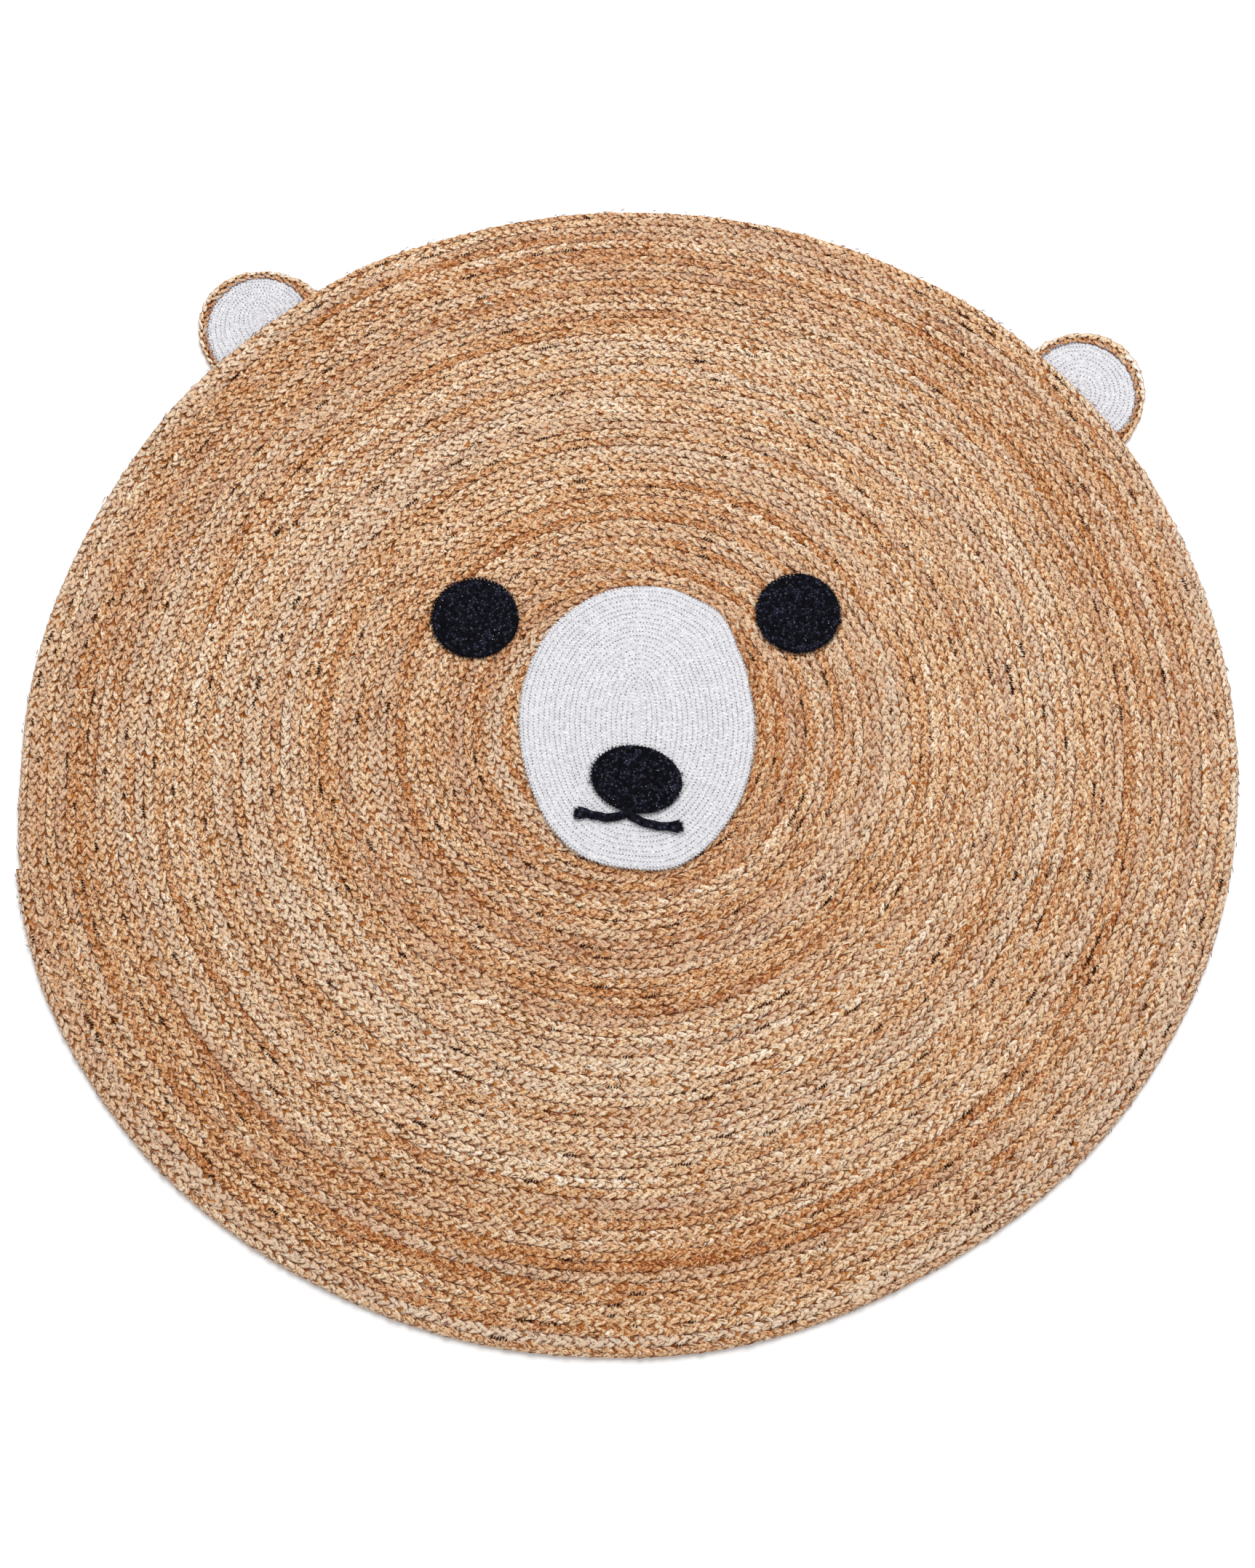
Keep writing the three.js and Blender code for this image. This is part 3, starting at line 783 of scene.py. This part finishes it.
# painted shade: fine dark lines between one strand and the next
creases = {"count": 12000, "rowsLeft": 1, "mirrored": ["turn", "across"],
           "turn": around(24.0, 12.0), "across": between(0.1, 0.9), "length": between(3.0, 9.0),
           "width": between(0.5, 1.2), "height": 9.1, "tone": between(0, 1, 1.3), "fall": 0.3}

# painted shade: short near-black marks in clusters along the seams, where the braid gaps
gaps = {"count": 480, "rowsLeft": 2, "most": 7, "step": 2.6, "across": around(1, 0.12),
        "turn": around(66.0, 17), "length": between(2.76, 5.52), "width": between(1.38, 2.76), "height": 9.3,
        "tone": between(0, 0.45)}


# the braid's path without its outermost rows; the last has the rim and no seam outside
def seamPath(rowsLeft=2):
    return {**strandPath(field, fieldBraid["firstRow"]), "last": field["turns"] - rowsLeft}


def markField(name, place, look, material):
    return layMarks(name, seamPath(), place, look, material, liftOverEars)


# random places along the seams, or beside them
def scattered(look):
    place = evenPlaces(seamPath(look["rowsLeft"]), 2.0)[0]
    return place[np.sort(dice.choice(len(place), look["count"], replace=False))]


# places at even steps, only in the patches where the seam is in sight
def inPatches(look):
    place, run = evenPlaces(seamPath(), look["step"])
    shown = wander(run, look["patch"]) > look["shown"]
    return place[shown], np.flatnonzero(shown)


def layGroove():
    return markField("rug_groove_shade", inPatches(groove)[0], groove, creaseShade)


def layZigzag():
    place, number = inPatches(zigzag)
    turn = np.where(number % 2, zigzag["slant"], -zigzag["slant"])
    return markField("rug_seam", place, {**zigzag, "turn": turn}, juteThread)


def layGaps():
    place = scattered(gaps)
    number = dice.integers(1, gaps["most"], len(place))
    step = gaps["step"] / (fullTurn * place * fieldRadius / (field["turns"] - 0.5))  # in turns
    place = np.concatenate([at + one * np.arange(many) for at, one, many in zip(place, step, number)])
    return markField("rug_gaps", place[place < seamPath()["last"]], gaps, gapShade)


def makeField():
    body = woundBody("rug_body", field, fieldBody, [juteCore, juteBack], lift=liftOverEars)
    dress = [*layField(), layRimTurns(), layGroove(), layZigzag(),
             markField("rug_fluff", scattered(fluff), fluff, juteThread),
             markField("rug_crease_shade", scattered(creases), creases, creaseShade), layGaps()]
    sewOn([body, *dress])
    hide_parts("rug_field")
    print("field laid")


makeField()


# The cotton coils

muzzleEdge = (  # angle in degrees, and how far the coil stands out from its oval there
    (12, -2.4), (30, 0.7), (48, 8), (66, 2.5), (88, -1.6), (118, -1), (140, 1.4), (162, 1.7),
    (200, -0.6), (238, 3.2), (266, -0.8), (288, 4.2), (325, 0.4), (350, -1.5))
cottonRow = 4.9
seam = 0.3
onField = 9 + seam
onMuzzle = onField + 5 + seam
coils = [{"base": onField, "thick": 5, "spin": 1, "steps": 40, "dark": True, **own} for own in (
    {"name": "muzzle", "x": 10.8, "y": 3.8, "long": 150.5, "wide": 116.6, "tilt": 90, "steps": 64,
     "edge": muzzleEdge, "dark": False},
    {"name": "eye_left", "x": -152, "y": 118.6, "long": 44, "wide": 43.7, "tilt": 0},
    {"name": "eye_right", "x": 171, "y": 123.2, "long": 43.6, "wide": 42.6, "tilt": 90},
    {"name": "nose", "x": 9, "y": -55.8, "long": 45, "wide": 35.1, "tilt": -13.5, "base": onMuzzle,
     "thick": 4.2, "spin": -1})]
cottonBraid = {"pitch": 3.6, "lane": (0.5, 0.06), "leaf": (5.0, 3.3, 2.0), "leafSpread": (0.08, 0.08, 0.08),
               "slant": (32.0, 5.0), "slope": (5.0, 4.0), "lean": (8.0, 4.0), "height": (-1.2, 0.1),
               "slip": 0.2, "dip": 0.2}
cottonBody = {"inset": 0.2, "below": 1.3, "groove": 0.3, "pitch": 3.6}
cottonHeart = {"beyond": 0.2, "half": 0.45, "aside": 0.4, "width": 0.8, "firstRow": 0.04}  # in rows
cottonTone = (0.5, 0.28, 0.08)  # mean, spread, and how far it wanders along the row


def everywhere(points):
    return np.full(len(points), True)


# a coil wound from its plan; keep says which spots of it are in sight
def coilMat(plan, keep=everywhere):
    return {**plan, "oval": plan, "turns": round(plan["wide"] / cottonRow + 0.5), "start": 0.0, "tail": 1.0,
            "tip": 0.15, "top": plan["base"] + plan["thick"], "keep": keep}


def coilBody(mat, material, backing):
    top = mat["thick"] - cottonBody["below"]
    body = {**cottonBody, "steps": mat["steps"], "edge": 0.5 * top, "topSeam": top - cottonBody["groove"],
            "topCrown": top, "lowSeam": 0.3, "lowCrown": 0.0}
    return woundBody(mat["name"] + "_coil", mat, body, [material, backing], mat["base"])


# the strand's start, doubled back along the coil's heart
def heartPath(mat):
    half = mat["long"] - mat["wide"] + cottonHeart["beyond"] * cottonRow

    def spot(place, across):
        y = cottonRow * (cottonHeart["half"] * across - cottonHeart["aside"]) * mat["spin"]
        x, y = rotated(half * (1 - 2 * place) + mat.get("heart", 0), y + 0 * place, mat["tilt"])
        return inFrame(mat, x + mat["x"], y + mat["y"])

    return {"spot": spot, "width": lambda place: np.full(len(place), cottonHeart["width"]),
            "first": 0.0, "last": 1.0, "samples": 200}


def coilStitches(mat, material):
    paths = heartPath(mat), strandPath(mat, cottonHeart["firstRow"])
    places = joinPlaces([braidLane(path, cottonBraid, lane, mat["top"])
                         for path in paths for lane in (1, -1)])
    places = somePlaces(places, mat["keep"](places["middle"]))
    drawTones(places, *cottonTone)
    return layMany(mat["name"] + "_stitches", stitch, places, material, smooth=False)


# Painted shade in the needle holes along a white coil's seams, drawn wide to show
needleHoles = {"pitch": 3.1, "missed": 0.22, "low": 0.1, "across": around(0.96, 0.12), "turn": 31.0,
               "length": between(0.96, 1.92), "width": 1.3, "tone": between(0, 1, 0.7)}


def coilHoles(mat):
    path = strandPath(mat, cottonHeart["firstRow"])
    place = evenPlaces(path, needleHoles["pitch"])[0]
    place = place[dice.uniform(0, 1, len(place)) > needleHoles["missed"]]
    across = needleHoles["across"](len(place))
    kept = mat["keep"](path["spot"](place, across))
    look = {**needleHoles, "across": across[kept], "height": mat["top"] - needleHoles["low"]}
    return layMarks(mat["name"] + "_holes", path, place[kept], look, holeShade)


# Short hairs that stick out round a coil
coilHairs = {
    "muzzle": {"count": 420, "length": (1.5, 3.4), "spread": 0.7, "inside": 0.9, "height": 3.0,
               "rise": (-1.8, 0.2), "width": 0.5},
    "eye": {"count": 230, "length": (2.2, 4.4), "spread": 0.35, "inside": 1.2, "height": 3.0,
            "rise": (-2.6, -0.4), "width": 0.7},
    "nose": {"count": 130, "length": (2.4, 5.6), "spread": 0.35, "inside": 1.2, "height": 2.4,
             "rise": (-2.0, -0.3), "width": 0.8, "sides": 1.3},
    "ear": {"count": 420, "length": (3.0, 6.5), "spread": 0.6, "inside": 2.0, "height": 5.4,
            "rise": (-0.3, 1.6), "width": 0.55},
}


def coilFluff(mat, look, material):
    wound = mat["turns"] - 1 + np.sort(dice.uniform(0, 1, look["count"]))
    wound = wound[np.abs(np.cos(wound * fullTurn)) > look.get("sides", 0) * dice.uniform(0, 1, len(wound))]
    count = len(wound)
    edge = edgePath(mat, 500)
    ahead, side = pathWays(edge, wound, 0)
    turn = dice.normal(0, look["spread"], (count, 1))
    way = side * np.cos(turn) + ahead * np.sin(turn)
    length = dice.uniform(*look["length"], (count, 1))
    root = edge["spot"](wound, 0) - side * look["inside"]
    high = mat["base"] + look["height"] + dice.normal(0, 0.5, count)
    starts = withZ(root, high)
    ends = withZ(root + way * length, high + dice.uniform(*look["rise"], count))
    kept = mat["keep"](starts)
    tone = dice.uniform(0, 1, kept.sum())
    return layThreads(mat["name"] + "_fluff", starts[kept], ends[kept], look["width"], 0.2, tone, material)


# Lint on the dark coils: white specks and grey fibres
lint = ({"count": 12, "length": (0.8, 1.3), "tone": (0.75, 1.0), "width": 0.9},
        {"count": 26, "length": (1.6, 3.6), "tone": (0.1, 0.45), "width": 0.4})
lintArea = (0.02, 0.9)  # between these shares of the coil's area


def coilLint(mat):
    def spotsOf(count):
        share = np.sqrt(dice.uniform(*lintArea, count))
        return ovalSpot(mat["oval"], share, dice.uniform(0, fullTurn, count))

    parts = []
    for kind, spots in [(kind, spotsOf(kind["count"])) for kind in lint]:
        middle = withZ(spots, mat["top"] + 0.15)
        angle = dice.uniform(0, fullTurn, len(spots))
        half = withZ(np.column_stack([np.cos(angle), np.sin(angle)]), 0)
        half *= dice.uniform(*kind["length"], (len(spots), 1)) / 2
        parts.append((middle - half, middle + half, np.full(len(spots), kind["width"]),
                      dice.uniform(*kind["tone"], len(spots))))
    starts, ends, width, tone = (np.concatenate(part) for part in zip(*parts))
    return layThreads(mat["name"] + "_lint", starts, ends, width, 0.1, tone, lintThread)


def makeCoil(coil):
    mat, name, dark = coilMat(coil), coil["name"], coil["dark"]
    body = coilBody(mat, *((darkCore, darkCore) if dark else (whiteCore, whiteBack)))
    dress = [coilStitches(mat, darkStitch if dark else whiteStitch),
             coilFluff(mat, coilHairs[name.split("_")[0]], darkThread if dark else whiteThread),
             (coilLint if dark else coilHoles)(mat)]
    sewOn([body, *dress])
    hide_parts(name)
    print("coil laid:", name)


for coil in coils:
    makeCoil(coil)


# The ears: a white coil with a jute braid round it, tucked under the rim

ears = [
    {"name": "ear_left", "at": earAngles[0], "heart": 16,
     "coil": {"x": -2.5, "y": -2.1, "long": 64.6, "wide": 57.6, "tilt": -26.8},
     "rim": {"x": -16.6, "y": -5.3, "long": 87.4, "wide": 71.3, "tilt": 0.1}},
    {"name": "ear_right", "at": earAngles[1], "heart": 0,
     "coil": {"x": 9, "y": 2.3, "long": 61, "wide": 56.2, "tilt": 48.6},
     "rim": {"x": -3.5, "y": 0.3, "long": 84.7, "wide": 68.9, "tilt": 19.1}},
]
earPlan = {"tuck": 25, "margin": 2, "thick": 5, "steps": 44, "openFrom": 118, "rings": 61, "braidThick": 6.5,
           "seam": 0.8, "nominal": 9.5}  # the braid's usual width
earProfile = (  # share of the way across from the coil to the outline, and height as a share of the thickness
    (0.04, 0.004), (0.02, 0.5), (0.28, 0.72), (0.5, 0.62), (0.74, 0.72), (0.96, 0.4), (0.92, 0.004))
earBraid = {"pitch": 11.0, "leaf": (17.0, 5.6, 3.6), "leafSpread": (0.07, 0.09, 0.08), "slope": (4.0, 5.0),
            "lean": (12.0, 5.0), "height": (4.8, 0.15), "slip": 0.5, "dip": 0.6}
earLanes = {1: {"lane": (0.38, 0.05), "slant": (10.0, 3.0)}, -1: {"lane": (0.8, 0.05), "slant": (17.0, 3.0)}}
earRim = {"pitch": 11.0, "size": (17.0, 4.4, 2.6), "spread": 0.07, "height": 2.5, "slant": 6.0, "inset": 2.3,
          "leanOut": 74.0}
earTone = {"lanes": (0.3, 0.66), "spread": (0.1, 0.12, 60), "grey": (0.05, 0.05), "rim": (0.55, 0.12)}

# painted shade: dark lozenges where an ear's strands cross and leave a gap
earGaps = {"pitch": 5.5, "outer": -0.05, "inner": -0.6, "drift": 0.12, "slant": 30.0,
           "length": between(2.7, 5.94), "width": between(1.26, 2.31), "height": 6.8, "tone": between(0, 0.6)}


# the distance from a point to the edge of an oval in given directions
def toEdge(oval, x, y, angle):
    turn = -math.radians(oval["tilt"])
    startX, startY = rotated(x - oval["x"], y - oval["y"], -oval["tilt"])
    startX, startY = startX / oval["long"], startY / oval["wide"]
    wayX, wayY = np.cos(angle + turn) / oval["long"], np.sin(angle + turn) / oval["wide"]
    square = wayX ** 2 + wayY ** 2
    half = (startX * wayX + startY * wayY) / square
    return np.sqrt(half ** 2 + (1 - startX ** 2 - startY ** 2) / square) - half


# how far out the band's two edges lie, seen from the middle of the ear's coil
def bandEdges(ear, angle):
    middle = ear["coil"]["x"], ear["coil"]["y"]
    inside, outside = (toEdge(oval, *middle, angle) for oval in (ear["coil"], ear["rim"]))
    return inside + earPlan["seam"], outside


def bandSpot(ear, angle, share):
    inside, outside = bandEdges(ear, angle)
    out = inside + (outside - inside) * share
    x, y = ear["coil"]["x"] + out * np.cos(angle), ear["coil"]["y"] + out * np.sin(angle)
    return inFrame({"out": fieldRadius, "turn": ear["at"]}, x, y)


# a closed body through rings of points, capped at both ends
def loft(name, rings, material):
    count, side = rings.shape[:2]
    here = np.arange(count * side).reshape(count, side)
    after = np.roll(here, -1, 1)
    quads = np.stack([here[:-1], after[:-1], after[1:], here[1:]], -1).reshape(-1, 4)
    fan = np.arange(1, side - 1)
    caps = [np.stack([0 * fan, fan + 1, fan], 1), np.stack([0 * fan, fan, fan + 1], 1) + here[-1, 0]]
    faces = np.concatenate([quads[:, [0, 1, 2]], quads[:, [0, 2, 3]], *caps])
    return makePiece(name, rings.reshape(-1, 3), faces, material)


def layEarGaps(name, path):
    place = evenPlaces(path, earGaps["pitch"])[0]
    outer = np.arange(len(place)) % 2 == 1
    across = np.where(outer, earGaps["outer"], earGaps["inner"])
    across = across + dice.normal(0, earGaps["drift"], len(place))
    turn = np.where(outer, earGaps["slant"], -earGaps["slant"])
    return layMarks(name + "_gaps", path, place, {**earGaps, "across": across, "turn": turn}, gapShade)


def earBand(ear):
    name, nominal = ear["name"] + "_braid", earPlan["nominal"]
    openFrom = math.radians(earPlan["openFrom"])
    angle = np.linspace(-openFrom, openFrom, earPlan["rings"])
    body = loft(name, np.stack([withZ(bandSpot(ear, angle, share), height * earPlan["braidThick"])
                                for share, height in earProfile], 1), juteEdge)

    # the braid runs clockwise, so that its herringbone points the same way as the rug's
    def angleAt(place):
        return openFrom * (1 - 2 * place)

    path = {"spot": lambda place, across: bandSpot(ear, angleAt(place), (1 + across) / 2),
            "width": lambda place: np.subtract(*bandEdges(ear, angleAt(place))[::-1]) / nominal,
            "first": 0.0, "last": 1.0, "samples": 400}
    places = joinPlaces([braidLane(path, {**earBraid, **own}, lane) for lane, own in earLanes.items()])
    drawTones(places, np.where(places["lane"] < 0, *earTone["lanes"]), *earTone["spread"])
    places["grey"] = np.clip(dice.normal(*earTone["grey"], len(places["run"])), 0, 1)
    leaves = layMany(name + "_leaves", leaf, places, juteStrand)
    rim = {**path, "spot": lambda place, across: bandSpot(ear, angleAt(place), 1 + across / nominal)}
    turns = turnsOver(rim, earRim)
    drawTones(turns, *earTone["rim"])
    pieces = [body, leaves, layMany(name + "_rim", leaf, turns, juteStrand), layEarGaps(name, path)]
    sewOn(pieces)
    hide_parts(name)
    return pieces


# cuts off what would lie more than the tuck under the rug
def cutEar(body, ear):
    bpy.ops.object.select_all(action="DESELECT")
    bpy.context.view_layer.objects.active = body
    body.select_set(True)
    setMode("EDIT")
    bpy.ops.mesh.select_all(action="SELECT")
    out = np.array(rotated(1, 0, ear["at"]))
    spot = (heart + out * (fieldRadius - earPlan["tuck"])) * mm
    bpy.ops.mesh.bisect(plane_co=(*spot, 0), plane_no=(*out, 0), use_fill=True, clear_inner=True)
    bpy.ops.mesh.select_all(action="SELECT")
    bpy.ops.mesh.quads_convert_to_tris()
    setMode("OBJECT")


def makeEar(ear):
    coil = {**ear["coil"], "name": ear["name"], "heart": ear["heart"], "out": fieldRadius, "turn": ear["at"],
            "base": 0.0, "thick": earPlan["thick"], "spin": 1, "steps": earPlan["steps"]}

    def outsideCut(points):
        x, y = rotated(points[:, 0] - heart[0], points[:, 1] - heart[1], -ear["at"])
        return x - fieldRadius > earPlan["margin"] - earPlan["tuck"]

    mat = coilMat(coil, outsideCut)
    body = coilBody(mat, whiteCore, whiteBack)
    cutEar(body, ear)
    dress = [coilStitches(mat, whiteStitch), coilHoles(mat), coilFluff(mat, coilHairs["ear"], whiteThread)]
    sewOn([body, *dress])
    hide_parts(ear["name"] + "_coil")
    band = earBand(ear)
    print("ear laid:", ear["name"])


for ear in ears:
    makeEar(ear)


# The mouth: two short dark cords, each from under the nose to a frayed end, braided like the coils

mouth = {
    "wide": 9.2, "high": 4.7, "root": 0.75, "rootEnds": 0.2, "flare": 1.5, "flareFrom": 0.8,
    "sides": 24, "steps": 70, "ply": 3, "plyDepth": 0.13, "lay": 15.0,  # lay is the length of one twist
    "tone": (0.45, 0.28),
}
fray = {"hairs": 100, "aside": 3.6, "back": (0.5, 4), "high": 2, "spread": 0.35, "rise": (-0.1, 0.2),
        "length": (2.0, 5.0), "more": 2, "above": 0.3, "width": 0.8, "arch": 0.2}
cordBraid = {**cottonBraid, "pitch": 4.4, "lane": (0.42, 0.06), "leaf": (6.4, 4.2, 2.0), "slant": (27.0, 5.0),
             "slope": (16.0, 4.0), "lean": (-14.0, 4.0), "height": (-0.5, 0.1), "dip": 0.8}
mouthPaths = {
    "mouth_left": [(7, -86.5), (0.5, -89.6), (-5.5, -92.6), (-11, -94.4), (-18.7, -95), (-25.8, -94),
                   (-32, -92.7), (-39, -90.8), (-47.2, -90.8)],
    "mouth_right": [(-3, -87.5), (2.4, -92), (7.5, -95.6), (12.5, -98.4), (20.7, -101.4), (27.2, -103),
                    (37, -104.2), (50.4, -104.3)],
}


# a smooth line through points, at even steps, with the length run so far
def smoothPath(points, count):
    points = np.array(points, float)
    padded = np.concatenate([[2 * points[0] - points[1]], points, [2 * points[-1] - points[-2]]])
    share = np.linspace(0, 1, 20, endpoint=False)[:, None]
    line = [0.5 * (2 * start + (end - before) * share
                   + (2 * before - 5 * start + 4 * end - after) * share ** 2
                   + (3 * start - before - 3 * end + after) * share ** 3)
            for before, start, end, after in zip(padded, padded[1:], padded[2:], padded[3:])]
    line = np.concatenate([*line, points[-1:]])
    run = runAlong(line)
    even = np.linspace(0, run[-1], count)
    return np.stack([np.interp(even, run, line[:, i]) for i in (0, 1)], 1), even


# the loose hairs at a cord's end, from where it ends and the ways ahead and aside there
def layFray(name, end, ahead, side):
    count = fray["hairs"]
    starts = withZ(np.tile(end, (count, 1)), onMuzzle + mouth["high"] / 2)
    starts[:, :2] += (side * dice.uniform(-fray["aside"], fray["aside"], (count, 1))
                      - ahead * dice.uniform(*fray["back"], (count, 1)))
    starts[:, 2] += dice.uniform(-fray["high"], fray["high"], count)
    flat = ahead + side * dice.normal(0, fray["spread"], (count, 1))
    way = withZ(flat, dice.normal(*fray["rise"], count))
    ends = starts + way * dice.uniform(*fray["length"], (count, 1)) + way * fray["more"]
    ends[:, 2] = np.maximum(ends[:, 2], onMuzzle + fray["above"])
    return layThreads(name + "_fray", starts, ends, fray["width"], fray["arch"], dice.uniform(0, 1, count),
                      darkThread)


def makeMouthCord(name, points):
    line, run = smoothPath(points, mouth["steps"] + 1)
    ahead = unit(np.gradient(line, axis=0))
    side = np.stack([-ahead[:, 1], ahead[:, 0]], 1)
    line = line + heart
    share = (run / run[-1])[:, None]
    swell = (mouth["root"] + (1 - mouth["root"]) * smoothstep(share, 0, mouth["rootEnds"])) \
        * (1 + (mouth["flare"] - 1) * smoothstep(share, mouth["flareFrom"], 1))
    angle = np.linspace(0, fullTurn, mouth["sides"], endpoint=False)[None, :]
    twist = mouth["ply"] * (angle - fullTurn * run[:, None] / mouth["lay"] / mouth["ply"])
    ridge = 1 - mouth["plyDepth"] * (0.5 - 0.5 * np.cos(twist))
    across = mouth["wide"] / 2 * swell * ridge * np.cos(angle)
    height = mouth["high"] / 2 * swell * (1 + ridge * np.sin(angle))
    flat = line[:, None] + side[:, None] * across[..., None]
    cord = loft(name + "_cord", np.concatenate([flat, (onMuzzle + height)[..., None]], -1), darkCord)

    def along(place, values):
        return np.interp(place * mouth["steps"], np.arange(mouth["steps"] + 1), values)

    def width(place):
        return along(place, swell[:, 0])

    def spot(place, across):
        out = across * mouth["wide"] / 2 * width(place)
        return np.stack([along(place, line[:, i]) + along(place, side[:, i]) * out for i in (0, 1)], 1)

    def crown(spots):
        nearest = np.argmin(((spots[:, None] - line) ** 2).sum(2), 1)
        return mouth["high"] * swell[nearest, 0]

    path = {"spot": spot, "width": width, "first": 0.0, "last": 1.0, "samples": 400}
    places = joinPlaces([braidLane(path, cordBraid, lane, onMuzzle, crown) for lane in (1, -1)])
    drawTones(places, *mouth["tone"])
    stitches = layMany(name + "_stitches", stitch, places, darkStitch, smooth=False)
    sewOn((cord, stitches, layFray(name, line[-1], ahead[-1], side[-1])))
    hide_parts(name)
    print("cord laid:", name, round(float(run[-1]), 1), "mm")


for name, points in mouthPaths.items():
    makeMouthCord(name, points)


shown = [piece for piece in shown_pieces() if piece.type == "MESH"]
print("triangles in all:", sum(len(piece.data.polygons) for piece in shown))
